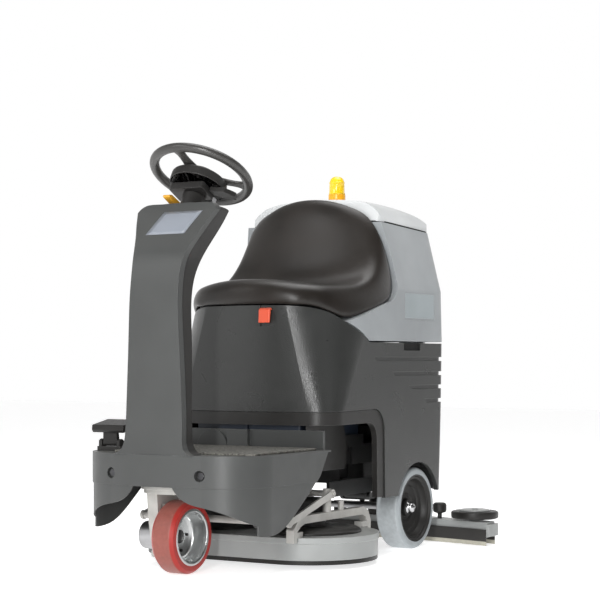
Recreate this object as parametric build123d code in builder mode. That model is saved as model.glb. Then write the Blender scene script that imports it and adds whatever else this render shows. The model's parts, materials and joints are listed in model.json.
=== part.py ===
import os
from math import cos, radians, sin

from build123d import *

# Ride-on floor scrubber, millimetres. +X is the operator's left, +Y is rearwards, +Z is up.
# The origin is on the floor, under the middle of the machine.

# Driving dimensions
nose_y = -650              # frontmost point of the front cover
front_axle_y = -505        # steering axis of the drive wheel
rear_axle_y = 361
drive_wheel_r = 100
drive_wheel_width = 73
rear_wheel_r = 125
rear_wheel_width = 78
rear_wheel_x = 237
cover_side_x = 290
cover_rear_y = -190
body_side_x = 285
body_front_y = -207
platform_z = 330           # top of the front cover where the feet rest
band_z = 245               # ledge round the front cover
parting_z = 640            # joint between the lower housing and the recovery tank
wheel_hub_y = -415         # centre of the steering wheel
wheel_hub_z = 1102
wheel_tilt = 28            # steering wheel's slope towards the operator
wheel_rim_r = 136
deck_y = -100              # centre of the brush deck
brush_x = 168              # half the distance between the two brushes
deck_r = 200
roller_x = 375
roller_y = 575
roller_r = 75
wall = 5                   # moulded walls
gap = 0.5                  # between fixed pieces that stand close together
running = 0.05             # radial clearance of a shaft in its bore

# Radii of the shafts and pins. Each bore is its pin's radius and the running clearance.
steering_shaft_r = 11
lower_shaft_r = 9
steering_tube_r = 18
drive_spindle_r = 15
axle_r = 10
arm_pin_r = 10             # deck arms in the chassis
post_pin_r = 6             # deck arms on the deck's posts
link_pin_r = 6             # level link at the chassis
lift_pin_r = 6             # lift tube at the chassis
lift_rod_r = 9
loose_pin_r = 5            # pins of the two open pivots, with play round them
motor_shaft_r = 14
squeegee_hinge_r = 8
swing_pin_r = 8
roller_pin_r = 8
tank_pin_r = 3
lid_pin_r = 3
pedal_pin_r = 5

# Axis of the steering shaft, pointing up to the operator, and points along it below the hub
lean = Vector(0, sin(radians(wheel_tilt)), cos(radians(wheel_tilt)))
hub_point = Vector(0, wheel_hub_y, wheel_hub_z)


def steering_plane(down):
    return Plane(origin=hub_point - lean * down, x_dir=(1, 0, 0), z_dir=lean)


# A closed outline of runs, drawn on a plane and extruded. Two points make a straight edge,
# more points a smooth curve.
def prism(plane, runs, depth, both=False):
    with BuildPart() as block:
        with BuildSketch(plane):
            with BuildLine():
                for run in runs:
                    if len(run) == 2:
                        Line(*run)
                    else:
                        Spline(*run)
            make_face()
        extrude(amount=depth, both=both)
    return block.part


# Flat ring or disc between two heights on a plane.
def ring(plane, outer, inner, height):
    with BuildPart() as block:
        with BuildSketch(plane):
            Circle(outer)
            if inner:
                Circle(inner, mode=Mode.SUBTRACT)
        extrude(amount=height)
    return block.part


# Turned piece from its half profile (radius, height), about the plane's normal.
def turned(plane, profile):
    with BuildPart() as block:
        with BuildSketch(Plane.XZ):
            with BuildLine():
                Polyline(*profile, close=True)
            make_face()
        revolve(axis=Axis.Z)
    return plane * block.part


pieces = {}


def keep(name, block):
    block.part.label = name
    pieces[name] = block.part


# ---------------------------------------------------------------- front cover
# The front cover is one moulding: foot platform, fender with two lobes and the column's front.

nose_half = 150
nose_edge_y = -632
shoulder = (245, -586)
flank = (286, -490)


def cover_block(inset, low, high):
    with BuildPart() as block:
        with BuildSketch(Plane.XY.offset(low)):
            with BuildLine():
                ThreePointArc((-nose_half, nose_edge_y), (0, nose_y), (nose_half, nose_edge_y))
                ThreePointArc((nose_half, nose_edge_y), shoulder, flank)
                Line(flank, (cover_side_x, cover_rear_y))
                Line((cover_side_x, cover_rear_y), (-cover_side_x, cover_rear_y))
                Line((-cover_side_x, cover_rear_y), (-flank[0], flank[1]))
                ThreePointArc((-flank[0], flank[1]), (-shoulder[0], shoulder[1]), (-nose_half, nose_edge_y))
            make_face()
            if inset:
                offset(amount=-inset)
        extrude(amount=high - low)
    return block.part


# Column front: its face seen from the side, and its half width seen from the front
column_face = [(-647, 330), (-639, 400), (-638, 476), (-640, 636), (-639, 768), (-633, 813),
               (-622, 855), (-601, 894), (-580, 926), (-559, 959), (-536, 991), (-522, 1014)]
column_back = [(-581, 330), (-581, 476), (-571, 637), (-556, 800), (-521, 867), (-500, 903),
               (-476, 950), (-462, 996)]
column_half = [(128, 330), (102, 345), (93, 390), (90, 476), (83, 636), (79, 790), (84, 862),
               (104, 926), (130, 991)]
shell_depth = 22


def shifted(points, along):
    return [(y + along, z) for y, z in points]


def column_outline(inset):
    half = [(x - inset, z) for x, z in column_half]
    left = [(-x, z) for x, z in half]
    top = [half[-1], (half[-1][0] - 8, 1003 - inset), (60, 1013 - inset), (0, 1016 - inset)]
    right_top = top + [(-x, z) for x, z in reversed(top[:-1])]
    return [half, left, right_top, [half[0], left[0]]]


def column_piece(front, back, inset):
    side = prism(Plane.YZ, [front, back, [front[0], back[0]], [front[-1], back[-1]]], 200, True)
    face = prism(Plane.XZ, column_outline(inset), 700, True)
    return side & face


column_front = column_piece(column_face, shifted(column_face, shell_depth), 0)
column_inside = column_piece(shifted(column_face, wall), shifted(column_face, shell_depth + 5), wall)

lobe_side = [[(-700, 60), (-700, 141)],
             [(-700, 141), (-640, 141)],
             [(-640, 141), (-596, 134), (-545, 118), (-505, 115), (-455, 122), (-396, 150),
              (-343, 187), (-285, 230), (-246, 263)],
             [(-246, 263), (-206, platform_z - wall)],
             [(-206, platform_z - wall), (-100, platform_z - wall)],
             [(-100, platform_z - wall), (-100, 60)],
             [(-100, 60), (-700, 60)]]
arch_half = [(64, band_z), (111, 204), (178, 188), (235, 166), (262, 150), (300, 128)]
arch_left = [(-x, z) for x, z in arch_half]
arch_front = [arch_half, arch_left, [(64, band_z), (-64, band_z)], [(300, 128), (300, 60)],
              [(-300, 128), (-300, 60)], [(300, 60), (-300, 60)]]
lobe_cut = prism(Plane.YZ, lobe_side, 320, True)
arch_cut = prism(Plane.XZ.offset(540), arch_front, 160)

bolt_x = 145
bolt_z = 277
bolt_places = [(-bolt_x, bolt_z), (bolt_x, bolt_z)]
bolt_seat_y = -618
bolt_head_r = 10.5
bolt_shank_r = 5.9
bolt_shank_length = 28
bolt_hole_r = 6
counterbore_r = 15
boss_outer_r = 20
footwell_wall_top = 383
footwell_wall_width = 540
footwell_wall_depth = 10
footwell_block = (70, 16)
arch_depth = 14
shaft_slot = (110, 44)     # opening in the platform for the steering shaft
shaft_slot_y = -606
arch_x = -100
arch_r = 52

with BuildPart() as front_cover:
    add(cover_block(0, band_z, platform_z))
    add(cover_block(3, 105, band_z))
    add(cover_block(wall + 3, 100, platform_z - wall), mode=Mode.SUBTRACT)
    add(lobe_cut, mode=Mode.SUBTRACT)
    add(arch_cut, mode=Mode.SUBTRACT)
    add(column_front)
    add(column_inside, mode=Mode.SUBTRACT)
    # footwell's rear wall, with a moulded arch and a block on it
    with BuildSketch(Plane.XY.offset(platform_z - wall)):
        with Locations((0, cover_rear_y - footwell_wall_depth / 2)):
            Rectangle(footwell_wall_width, footwell_wall_depth)
        with Locations((-10, cover_rear_y - 17)):
            Rectangle(*footwell_block)
    extrude(amount=footwell_wall_top - platform_z + wall)
    with BuildSketch(Plane.XZ.offset(8 - cover_rear_y)):
        with Locations((arch_x, platform_z)):
            Circle(arch_r)
        with Locations((arch_x, platform_z - 60)):
            Rectangle(3 * arch_r, 110, mode=Mode.SUBTRACT)
    extrude(amount=arch_depth)
    # opening for the steering shaft and its chain
    with BuildSketch(Plane.XY.offset(platform_z - 20)):
        with Locations((0, shaft_slot_y)):
            Rectangle(*shaft_slot)
    extrude(amount=60, mode=Mode.SUBTRACT)
    # counterbored bosses for the two front bolts
    with BuildSketch(Plane.XZ.offset(612)):
        with Locations(*bolt_places):
            Circle(boss_outer_r)
    extrude(amount=18)
    with BuildSketch(Plane.XZ.offset(-bolt_seat_y)):
        with Locations(*bolt_places):
            Circle(counterbore_r)
    extrude(amount=40, mode=Mode.SUBTRACT)
    with BuildSketch(Plane.XZ.offset(600)):
        with Locations(*bolt_places):
            Circle(bolt_hole_r)
    extrude(amount=40, mode=Mode.SUBTRACT)
keep("front_cover", front_cover)

with BuildPart() as front_bolts:
    with BuildSketch(Plane.XZ.offset(-bolt_seat_y)):
        with Locations(*bolt_places):
            RegularPolygon(bolt_head_r, 6)
    extrude(amount=8)
    with BuildSketch(Plane.XZ.offset(-bolt_seat_y - bolt_shank_length)):
        with Locations(*bolt_places):
            Circle(bolt_shank_r)
    extrude(amount=bolt_shank_length)
keep("front_bolts", front_bolts)

mat_thickness = 6
mat_front_y = -572
mat_rear_y = -218
mat_width = 536
mat_corner_r = 22
pedal_x = -225
pedal_bracket_y = -520
pedal_bracket_width = 84
pedal_bracket_depth = 44
mat_gap = 3                # round the pedal's bracket
with BuildPart() as platform_mat:
    with BuildSketch(Plane.XY.offset(platform_z)):
        with Locations((0, (mat_front_y + mat_rear_y) / 2)):
            RectangleRounded(mat_width, mat_rear_y - mat_front_y, mat_corner_r)
        # the front corner is left free for the pedal's bracket
        notch_x = pedal_x + pedal_bracket_width / 2 + mat_gap
        notch_y = pedal_bracket_y + pedal_bracket_depth / 2 + mat_gap
        with Locations((notch_x, notch_y)):
            Rectangle(mat_width, mat_width, align=(Align.MAX, Align.MAX), mode=Mode.SUBTRACT)
    extrude(amount=mat_thickness)
keep("platform_mat", platform_mat)

# ---------------------------------------------------------------- column rear cover and dash
dash_plane = Plane(origin=(0, -481, 1005), x_dir=(1, 0, 0), z_dir=(0, 0.428, 0.904))
dash_width = 200
dash_depth = 34
boss_r = 32
boss_down = 165            # from the wheel's hub down the shaft's axis
boss_length = 91
boss_bore_r = steering_tube_r + 0.3
rear_front = shifted(column_face, shell_depth + 1)
with BuildPart() as column_rear_cover:
    add(column_piece(rear_front, column_back, wall))
    add(column_piece(shifted(column_face, shell_depth - 10), shifted(column_back, -wall), 2 * wall),
        mode=Mode.SUBTRACT)
    add(ring(steering_plane(320), boss_bore_r, 0, 300), mode=Mode.SUBTRACT)
    with BuildSketch(dash_plane.offset(-4)):
        Rectangle(dash_width + 2 * gap, dash_depth + 2 * gap)
    extrude(amount=20, mode=Mode.SUBTRACT)
    add(ring(steering_plane(boss_down), boss_r, boss_bore_r, boss_length))
column_rear_cover.part = column_rear_cover.part - prism(
    Plane.XY.offset(platform_z - 10), [[(-200, -700), (200, -700)], [(200, -700), (200, -300)],
                                       [(200, -300), (-200, -300)], [(-200, -300), (-200, -700)]],
    10 + gap)
keep("column_rear_cover", column_rear_cover)

button_places = [(52, 7), (70, 7)]
key_place = (89, -7)
button_r = 5
button_hole_r = button_r + 0.4
key_r = 4
key_hole_r = key_r + 0.1
panel_thickness = 3
display = (52, 26)
with BuildPart() as dash_panel:
    with BuildSketch(dash_plane.offset(-panel_thickness)):
        Rectangle(dash_width, dash_depth)
        with Locations(*button_places):
            Circle(button_hole_r, mode=Mode.SUBTRACT)
        with Locations(key_place):
            Circle(key_hole_r, mode=Mode.SUBTRACT)
    extrude(amount=panel_thickness)
    add(ring(steering_plane(200), boss_r + gap, 0, 160), mode=Mode.SUBTRACT)
    # raised frame of the display
    with BuildSketch(dash_plane):
        with Locations((-68, 0)):
            RectangleRounded(*display, 4)
    extrude(amount=3)
keep("dash_panel", dash_panel)

for index, place in enumerate(button_places):
    with BuildPart() as button:
        with BuildSketch(dash_plane.offset(-1.5)):
            with Locations(place):
                Circle(button_r)
        extrude(amount=6)
        fillet(button.edges().group_by(SortBy.DISTANCE)[-1], 1)
    keep(("brush_button", "suction_button")[index], button)

with BuildPart() as key:
    with BuildSketch(dash_plane.offset(-2)):
        with Locations(key_place):
            Circle(key_r)
    extrude(amount=8)
    with BuildSketch(dash_plane.offset(6)):
        with Locations(key_place):
            Rectangle(3, 14)
    extrude(amount=14)
keep("key", key)

# ---------------------------------------------------------------- steering
lower_shaft_y = -605
joint_down = (wheel_hub_y - lower_shaft_y) / lean.Y
joint_z = wheel_hub_z - joint_down * lean.Z
ball_r = 12
sprocket_z = 285
sprocket_small = 28
sprocket_large = 56
chain_width = 6
cup_length = 13            # joint's cup round the ball
hub_reach = 20             # the shaft ends this far below the wheel's centre

with BuildPart() as lower_shaft:
    add(ring(Plane(origin=(0, lower_shaft_y, sprocket_z)), lower_shaft_r, 0, joint_z - sprocket_z))
    add(ring(Plane(origin=(0, lower_shaft_y, sprocket_z)), sprocket_small, 0, chain_width))
    with Locations((0, lower_shaft_y, joint_z)):
        Sphere(ball_r)
keep("lower_shaft", lower_shaft)

shaft_down = joint_down - cup_length
with BuildPart() as steering_shaft:
    add(ring(steering_plane(shaft_down), steering_shaft_r, 0, shaft_down - hub_reach))
    add(ring(steering_plane(joint_down), steering_tube_r, ball_r + 0.4, cup_length + 1))
    add(ring(steering_plane(shaft_down), steering_tube_r, 0, 5))
keep("steering_shaft", steering_shaft)

# rim and spokes are one moulding, the drum under them another
drum_r = 80
spoke_count = 3
with BuildPart() as steering_wheel:
    with BuildSketch(Plane.XZ):
        with Locations((wheel_rim_r, 0)):
            Ellipse(14, 13)
    revolve(axis=Axis.Z)
    with BuildSketch(Plane.XY.offset(-8)):
        Circle(52)
        with PolarLocations(88, spoke_count, start_angle=-90):
            Rectangle(84, 34)
    extrude(amount=10)
steering_wheel.part = steering_plane(0) * steering_wheel.part
keep("steering_wheel", steering_wheel)

with BuildPart() as steering_hub:
    add(turned(steering_plane(0), [(steering_shaft_r + running, -8.5), (60, -8.5), (drum_r, -18),
                                   (drum_r, -44), (drum_r - 5, -44), (drum_r - 8, -22), (26, -22),
                                   (26, -40), (steering_shaft_r + running, -40)]))
keep("steering_hub", steering_hub)

# fixed tube round the steering shaft, with the switch housing on its top
switch_housing = (112, 66)
with BuildPart() as steering_tube:
    add(ring(steering_plane(195), steering_tube_r, 0, 124))
    with BuildSketch(steering_plane(72)):
        with Locations((-6, -10)):
            RectangleRounded(*switch_housing, 8)
    extrude(amount=22)
    add(ring(steering_plane(200), steering_shaft_r + running, 0, 160), mode=Mode.SUBTRACT)
keep("steering_tube", steering_tube)

paddle_down = 64
with BuildPart() as direction_paddle:
    with BuildSketch(steering_plane(paddle_down)):
        with BuildLine():
            Polyline((54, -12), (96, -2), (118, 26), (112, 42), (88, 34), (54, 12), close=True)
        make_face()
    extrude(amount=14)
    for step in range(4):
        with BuildSketch(steering_plane(paddle_down - 12)):
            with Locations(Location((68 + 11 * step, 6 + 7 * step), 35)):
                Rectangle(4, 26)
        extrude(amount=6, mode=Mode.SUBTRACT)
keep("direction_paddle", direction_paddle)

with BuildPart() as column_lever:
    with BuildSketch(Plane.YZ.offset(-62)):
        with BuildLine():
            Polyline((-462, 1017), (-462, 1024), (-500, 1041), (-514, 1040), (-514, 1034),
                     (-480, 1015), close=True)
        make_face()
    extrude(amount=24)
keep("column_lever", column_lever)

# steering chain round the two sprockets
chain_gap = 0.4
chain_thickness = 7
pivot_r = 30
chain_plane = Plane(origin=(0, 0, sprocket_z))
chain_span = front_axle_y - lower_shaft_y
chain_tilt = (sprocket_large - sprocket_small) / chain_span


def chain_loop(grow):
    side = (1 - chain_tilt ** 2) ** 0.5
    corners = []
    for centre, radius in ((lower_shaft_y, sprocket_small + grow), (front_axle_y, sprocket_large + grow)):
        corners.append((side * radius, centre - chain_tilt * radius))
    with BuildPart() as loop:
        with BuildSketch(chain_plane):
            with Locations((0, lower_shaft_y)):
                Circle(sprocket_small + grow)
            with Locations((0, front_axle_y)):
                Circle(sprocket_large + grow)
            with BuildLine():
                Polyline(corners[0], corners[1], (-corners[1][0], corners[1][1]),
                         (-corners[0][0], corners[0][1]), close=True)
            make_face()
        extrude(amount=chain_width)
    return loop.part


with BuildPart() as steering_chain:
    add(chain_loop(chain_gap + chain_thickness))
    add(chain_loop(chain_gap), mode=Mode.SUBTRACT)
keep("steering_chain", steering_chain)

# ---------------------------------------------------------------- chassis
rail_x = 120
rail_low = 265
rail_high = 323
front_plate_z = 262
arm_pivot_y = -345
arm_pivot_z = 136
link_pivot_z = 181
link_x = 60
rail_width = 30
rail_length = 1120
cross_width = 290
cross_depth = 40
ear_thickness = 10
tray_width = 376
tray_thickness = 6
sill_low = 180
lift_hinge_y = 470
lift_hinge_z = 150
rod_y = -70
rod_top_z = 300
tray_z = rail_high

with BuildPart() as chassis_frame:
    # two long rails joined by cross-members
    with BuildSketch(Plane.XY.offset(rail_low)):
        with Locations((-rail_x, -40), (rail_x, -40)):
            Rectangle(rail_width, rail_length)
        with Locations((0, -345), (0, 210), (0, 470)):
            Rectangle(cross_width, cross_depth)
    extrude(amount=rail_high - rail_low)
    # plate that carries the drive unit
    with BuildSketch(Plane.XY.offset(front_plate_z)):
        with Locations((0, front_axle_y)):
            Rectangle(250, 170)
            Circle(pivot_r + running, mode=Mode.SUBTRACT)
    extrude(amount=14)
    # cross pins of the brush deck's lift rod
    with BuildSketch(Plane.YZ):
        with Locations((rod_y, rod_top_z)):
            Circle(lift_pin_r)
    extrude(amount=rail_x - 10, both=True)
    # ears of the deck arms and of the upper link
    for x in (-145, 145):
        with BuildSketch(Plane.YZ.offset(x - 5)):
            with Locations((arm_pivot_y, 200)):
                Rectangle(40, 140)
            with Locations((arm_pivot_y, arm_pivot_z)):
                Circle(20)
                Circle(arm_pin_r + running, mode=Mode.SUBTRACT)
        extrude(amount=ear_thickness)
    for x in (link_x - 17, link_x + 11):
        with BuildSketch(Plane.YZ.offset(x)):
            with Locations((arm_pivot_y, 225)):
                Rectangle(30, 90)
            with Locations((arm_pivot_y, link_pivot_z)):
                Circle(15)
        extrude(amount=6)
    with BuildSketch(Plane.YZ.offset(link_x - 17)):
        with Locations((arm_pivot_y, link_pivot_z)):
            Circle(link_pin_r)
    extrude(amount=34)
    # side sills under the body and the plates that hold the rear axle
    for side in (-1, 1):
        with BuildSketch(Plane.XY.offset(sill_low)):
            with Locations((side * 181, 180)):
                Rectangle(10, 400)
            with Locations((side * 150, 150)):
                Rectangle(60, 30)
        extrude(amount=45)
        with BuildSketch(Plane.XY.offset(sill_low)):
            with Locations((side * rail_x, 150), (side * rail_x, rear_axle_y)):
                Rectangle(30, 40)
        extrude(amount=100)
        with BuildSketch(Plane.YZ.offset(side * 165 - 10)):
            with Locations((rear_axle_y, 160)):
                Rectangle(60, 100)
            with Locations((rear_axle_y, rear_wheel_r)):
                Circle(32)
                Circle(axle_r, mode=Mode.SUBTRACT)
        extrude(amount=20)
        with BuildSketch(Plane.XY.offset(sill_low)):
            with Locations((side * 140, rear_axle_y)):
                Rectangle(70, 40)
        extrude(amount=30)
        # ears of the squeegee hinge
        with BuildSketch(Plane.YZ.offset(side * 44 - 5)):
            with Locations((lift_hinge_y, 207)):
                Rectangle(36, 120)
            with Locations((lift_hinge_y, lift_hinge_z)):
                Circle(18)
                Circle(squeegee_hinge_r + running, mode=Mode.SUBTRACT)
        extrude(amount=ear_thickness)
    # floor of the body with the rim that holds the batteries
    with BuildSketch(Plane.XY.offset(tray_z)):
        with Locations((0, 170)):
            Rectangle(tray_width, 700)
    extrude(amount=tray_thickness)
    with BuildSketch(Plane.XY.offset(tray_z + tray_thickness)):
        Rectangle(tray_width, 366)
        Rectangle(tray_width - 10, 356, mode=Mode.SUBTRACT)
    extrude(amount=30)
keep("chassis_frame", chassis_frame)

with BuildPart() as rear_axle:
    with BuildSketch(Plane(origin=(0, rear_axle_y, rear_wheel_r), x_dir=(0, 1, 0), z_dir=(1, 0, 0))):
        Circle(axle_r)
    extrude(amount=252, both=True)
    for side in (-1, 1):
        with BuildSketch(Plane.YZ.offset(side * 258 - 6)):
            with Locations((rear_axle_y, rear_wheel_r)):
                RegularPolygon(15, 6)
        extrude(amount=12)
keep("rear_axle", rear_axle)

# ---------------------------------------------------------------- drive unit
drive_axis = Plane(origin=(0, front_axle_y, drive_wheel_r), x_dir=(0, 1, 0), z_dir=(1, 0, 0))
half_width = drive_wheel_width / 2
hub_r = 78
with BuildPart() as drive_tyre:
    add(turned(drive_axis, [(hub_r, -half_width), (drive_wheel_r - 9, -half_width),
                            (drive_wheel_r, -half_width + 12), (drive_wheel_r, half_width - 12),
                            (drive_wheel_r - 9, half_width), (hub_r, half_width)]))
keep("drive_tyre", drive_tyre)

hub_bolts = 5
hub_bolt_circle_r = 42
hub_bolt_r = 3.5
with BuildPart() as drive_hub:
    add(turned(drive_axis, [(drive_spindle_r + running, -34), (hub_r, -34), (hub_r, half_width),
                            (hub_r - 4, half_width + 1), (hub_r - 9, half_width - 1), (hub_r - 12, -4),
                            (hub_r - 26, -14), (30, -14), (27, -8), (drive_spindle_r + running, -8)]))
    with BuildSketch(drive_axis.offset(-20)):
        with PolarLocations(hub_bolt_circle_r, hub_bolts):
            Circle(hub_bolt_r)
    extrude(amount=30, mode=Mode.SUBTRACT)
keep("drive_hub", drive_hub)

leg_in = -42
leg_out = -76
leg_flange_r = 104
motor_r = 38
motor_length = 45
turntable_r = 112
with BuildPart() as drive_leg:
    add(ring(Plane(origin=(0, front_axle_y, 222)), leg_flange_r, 0, 11))
    with BuildSketch(Plane.YZ.offset(leg_out)):
        with BuildLine():
            Polyline((-565, 226), (-445, 226), (-455, 140), (-472, 62), (-492, 44), (-518, 44),
                     (-538, 62), (-555, 140), close=True)
        make_face()
    extrude(amount=leg_in - leg_out)
    fillet(drive_leg.edges().filter_by(Axis.X).group_by(Axis.Z)[0], 8)
    with BuildSketch(Plane.YZ.offset(leg_out - 1)):
        with Locations(Location((front_axle_y - 34, 160), 80)):
            SlotOverall(66, 15)
    extrude(amount=40, mode=Mode.SUBTRACT)
    with BuildSketch(Plane.YZ.offset(leg_out)):
        with Locations((-532, 54)):
            Circle(11)
            Circle(4, mode=Mode.SUBTRACT)
    extrude(amount=14)
    # spindle of the drive wheel
    with BuildSketch(drive_axis.offset(leg_in - 1)):
        Circle(drive_spindle_r)
    extrude(amount=33)
keep("drive_leg", drive_leg)

with BuildPart() as drive_motor:
    with BuildSketch(drive_axis.offset(leg_out - motor_length)):
        Circle(motor_r)
    extrude(amount=motor_length)
    fillet(drive_motor.edges().sort_by(Axis.X)[0], 4)
keep("drive_motor", drive_motor)

with BuildPart() as drive_turntable:
    add(ring(Plane(origin=(0, front_axle_y, 233)), turntable_r, 0, 13))
    add(ring(Plane(origin=(0, front_axle_y, 246)), pivot_r, 0, sprocket_z + chain_width - 246))
    add(ring(Plane(origin=(0, front_axle_y, sprocket_z)), sprocket_large, 0, chain_width))
keep("drive_turntable", drive_turntable)

# ---------------------------------------------------------------- lower housing
# Plan section of the body, from front to rear: bowed front, swept corner, flat side, round rear
# corner.
def body_section(z, side, front_half, edge_y, mid_y, corner, side_y, rear_y, inset):
    side -= inset
    rear_y -= inset
    edge_y += inset
    mid_y += inset
    corner = (corner[0] - 0.7 * inset, corner[1] + 0.7 * inset)
    turn = 50
    bulge = turn * 0.3
    with BuildSketch(Plane.XY.offset(z)) as section:
        with BuildLine():
            ThreePointArc((-front_half, edge_y), (0, mid_y), (front_half, edge_y))
            ThreePointArc((front_half, edge_y), corner, (side, side_y))
            Line((side, side_y), (side, rear_y - turn))
            ThreePointArc((side, rear_y - turn), (side - bulge, rear_y - bulge), (side - turn, rear_y))
            Line((side - turn, rear_y), (turn - side, rear_y))
            ThreePointArc((turn - side, rear_y), (bulge - side, rear_y - bulge), (-side, rear_y - turn))
            Line((-side, rear_y - turn), (-side, side_y))
            ThreePointArc((-side, side_y), (-corner[0], corner[1]), (-front_half, edge_y))
        make_face()
    return section.sketch


low_sections = [(165, body_side_x, 215, -190, body_front_y, (268, -158), -105, 540),
                (434, body_side_x, 215, -190, body_front_y, (268, -158), -105, 556),
                (760, body_side_x, 132, -186, -203, (232, -97), 92, 568)]
high_sections = [(600, body_side_x, 172, -188, -204, (248, -118), 0, 566),
                 (800, 283, 126, -186, -203, (232, -97), 104, 562),
                 (1030, 234, 100, -180, -200, (190, -80), 110, 545)]


def body_loft(sections, inset):
    with BuildPart() as body:
        for section in sections:
            add(body_section(*section, inset))
        loft(ruled=True)
    return body.part


housing_wall = 12
housing_side = [[(-230, 434), (78, 438)],
                [(78, 438), (112, 428), (134, 400), (140, 365)],
                [(140, 365), (142, 172)],
                [(142, 172), (rear_axle_y + 150, 172)],
                [(rear_axle_y + 150, 172), (600, 188)],
                [(600, 188), (600, parting_z - 5)],
                [(600, parting_z - 5), (46, parting_z - 5)],
                [(46, parting_z - 5), (0, 661), (-57, 690), (-100, 718), (-150, 735), (-230, 741)],
                [(-230, 741), (-230, 434)]]
housing_shape = prism(Plane.YZ, housing_side, 300, True)
housing_core = body_loft(low_sections, 6)
groove_starts = {586: 75, 541: 190, 499: 300, 456: 405}
groove_half = 6
arch_cut_r = 142
pocket = (14, 112)         # hand pocket: depth and length
pocket_y = 320

latch_x = 81
latch_width = 38
with BuildPart() as lower_housing:
    add(body_loft(low_sections, 0))
    add(body_loft(low_sections, housing_wall), mode=Mode.SUBTRACT)
    add(housing_shape, mode=Mode.INTERSECT)
    with BuildSketch(Plane.YZ):
        with Locations((rear_axle_y, rear_wheel_r)):
            Circle(arch_cut_r)
    extrude(amount=320, both=True, mode=Mode.SUBTRACT)
    for groove_z, start_y in groove_starts.items():
        add(prism(Plane.YZ, [[(start_y, groove_z + groove_half), (600, groove_z + groove_half)],
                             [(600, groove_z + groove_half), (600, groove_z - groove_half)],
                             [(600, groove_z - groove_half), (start_y + 14, groove_z - groove_half)],
                             [(start_y + 14, groove_z - groove_half), (start_y, groove_z + groove_half)]],
                  300, True)
            - housing_core, mode=Mode.SUBTRACT)
    # hand pockets under the tank's edge, and the latch's recess
    for side in (-1, 1):
        with BuildSketch(Plane.XY.offset(612)):
            with Locations((side * body_side_x, pocket_y)):
                Rectangle(*pocket)
        extrude(amount=40, mode=Mode.SUBTRACT)
    with BuildSketch(Plane.XY.offset(680)):
        with Locations((latch_x, -206)):
            Rectangle(44, 22)
    extrude(amount=80, mode=Mode.SUBTRACT)
keep("lower_housing", lower_housing)

band_side = [[(-230, 396), (46, 398)],
             [(46, 398), (74, 392), (92, 372), (98, 345)],
             [(98, 345), (100, 176)],
             [(100, 176), (141, 176)],
             [(141, 176), (139, 365)],
             [(139, 365), (133, 400), (111, 427), (78, 437)],
             [(78, 437), (-230, 433)],
             [(-230, 433), (-230, 396)]]
with BuildPart() as arch_band:
    add(body_loft(low_sections, 4))
    add(body_loft(low_sections, 22), mode=Mode.SUBTRACT)
    add(prism(Plane.YZ, band_side, 300, True), mode=Mode.INTERSECT)
keep("arch_band", arch_band)

with BuildPart() as seat_latch:
    with BuildSketch(Plane.YZ.offset(latch_x - latch_width / 2)):
        with BuildLine():
            Polyline((-198, 726), (-198, 732), (-206, 734), (-214, 728), (-216, 690), (-210, 690),
                     (-205, 726), close=True)
        make_face()
    extrude(amount=latch_width)
keep("seat_latch", seat_latch)

with BuildPart() as inner_panels:
    with BuildSketch(Plane.YZ):
        with BuildLine():
            Line((-180, 262), (-180, 396))
            Line((-180, 396), (30, 396))
            ThreePointArc((30, 396), (52, 320), (40, 262))
            Line((40, 262), (-180, 262))
        make_face()
    extrude(amount=204, both=True)
    with BuildSketch(Plane.XY.offset(250)):
        Rectangle(400, 800)
    extrude(amount=200, mode=Mode.SUBTRACT)
keep("inner_panels", inner_panels)

# ---------------------------------------------------------------- inside the housing
battery = (176, 170, 250)
battery_pitch = (180, 176)
terminal_r = 9
floor_z = tray_z + tray_thickness
with BuildPart() as batteries:
    with BuildSketch(Plane.XY.offset(floor_z)):
        with GridLocations(*battery_pitch, 2, 2):
            RectangleRounded(battery[0], battery[1], 6)
    extrude(amount=battery[2])
    with BuildSketch(Plane.XY.offset(floor_z + battery[2])):
        with GridLocations(*battery_pitch, 2, 2):
            with GridLocations(110, 120, 2, 1):
                Circle(terminal_r)
    extrude(amount=14)
keep("batteries", batteries)

controller_place = (-100, 270)
controller_base = 16
with BuildPart() as motor_controller:
    with BuildSketch(Plane.XY.offset(floor_z)):
        with Locations(controller_place):
            RectangleRounded(130, 120, 5)
    extrude(amount=controller_base)
    with BuildSketch(Plane.XY.offset(floor_z + controller_base)):
        with Locations(controller_place):
            with GridLocations(0, 15, 1, 8):
                Rectangle(126, 6)
    extrude(amount=22)
keep("motor_controller", motor_controller)

with BuildPart() as vacuum_motor:
    add(turned(Plane(origin=(60, 400, floor_z)), [(0, 0), (78, 0), (78, 46), (60, 52), (52, 60),
                                                     (52, 120), (30, 132), (0, 132)]))
keep("vacuum_motor", vacuum_motor)

# ---------------------------------------------------------------- recovery tank, seat and lid
seat_back = [(-57, 695), (20, 716), (81, 734), (170, 757)]
seat_corner = [(170, 757), (208, 772), (226, 796), (232, 830)]
seat_rise = [(232, 830), (229, 870), (217, 935), (201, 1004)]
tank_side = [[(46, parting_z), (600, parting_z)],
             [(600, parting_z), (600, 984)],
             [(600, 984), (201, 1004)],
             seat_rise, seat_corner, seat_back,
             [(-57, 695), (0, 666), (46, parting_z)]]
tank_inner = [[(56, parting_z + wall), (600, parting_z + wall)],
              [(600, parting_z + wall), (600, 1040)],
              [(600, 1040), (207, 1040)],
              [(207, 1040), (207, 1004), (223, 935), (236, 870), (238, 830)],
              [(238, 830), (232, 794), (212, 766), (170, 751)],
              [(170, 751), (81, 728), (0, 704), (-20, 694)],
              [(-20, 694), (10, 672), (56, parting_z + wall)]]
plate_y = 374
plate_z = 750
lid_hinge_y = 556
lid_hinge_z = 1000
tank_hinge_y = 580
tank_hinge_z = parting_z
hinge_x = 150
knuckle_r = 7
lid_knuckle_r = 6
plate_field = (206, 88)
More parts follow.
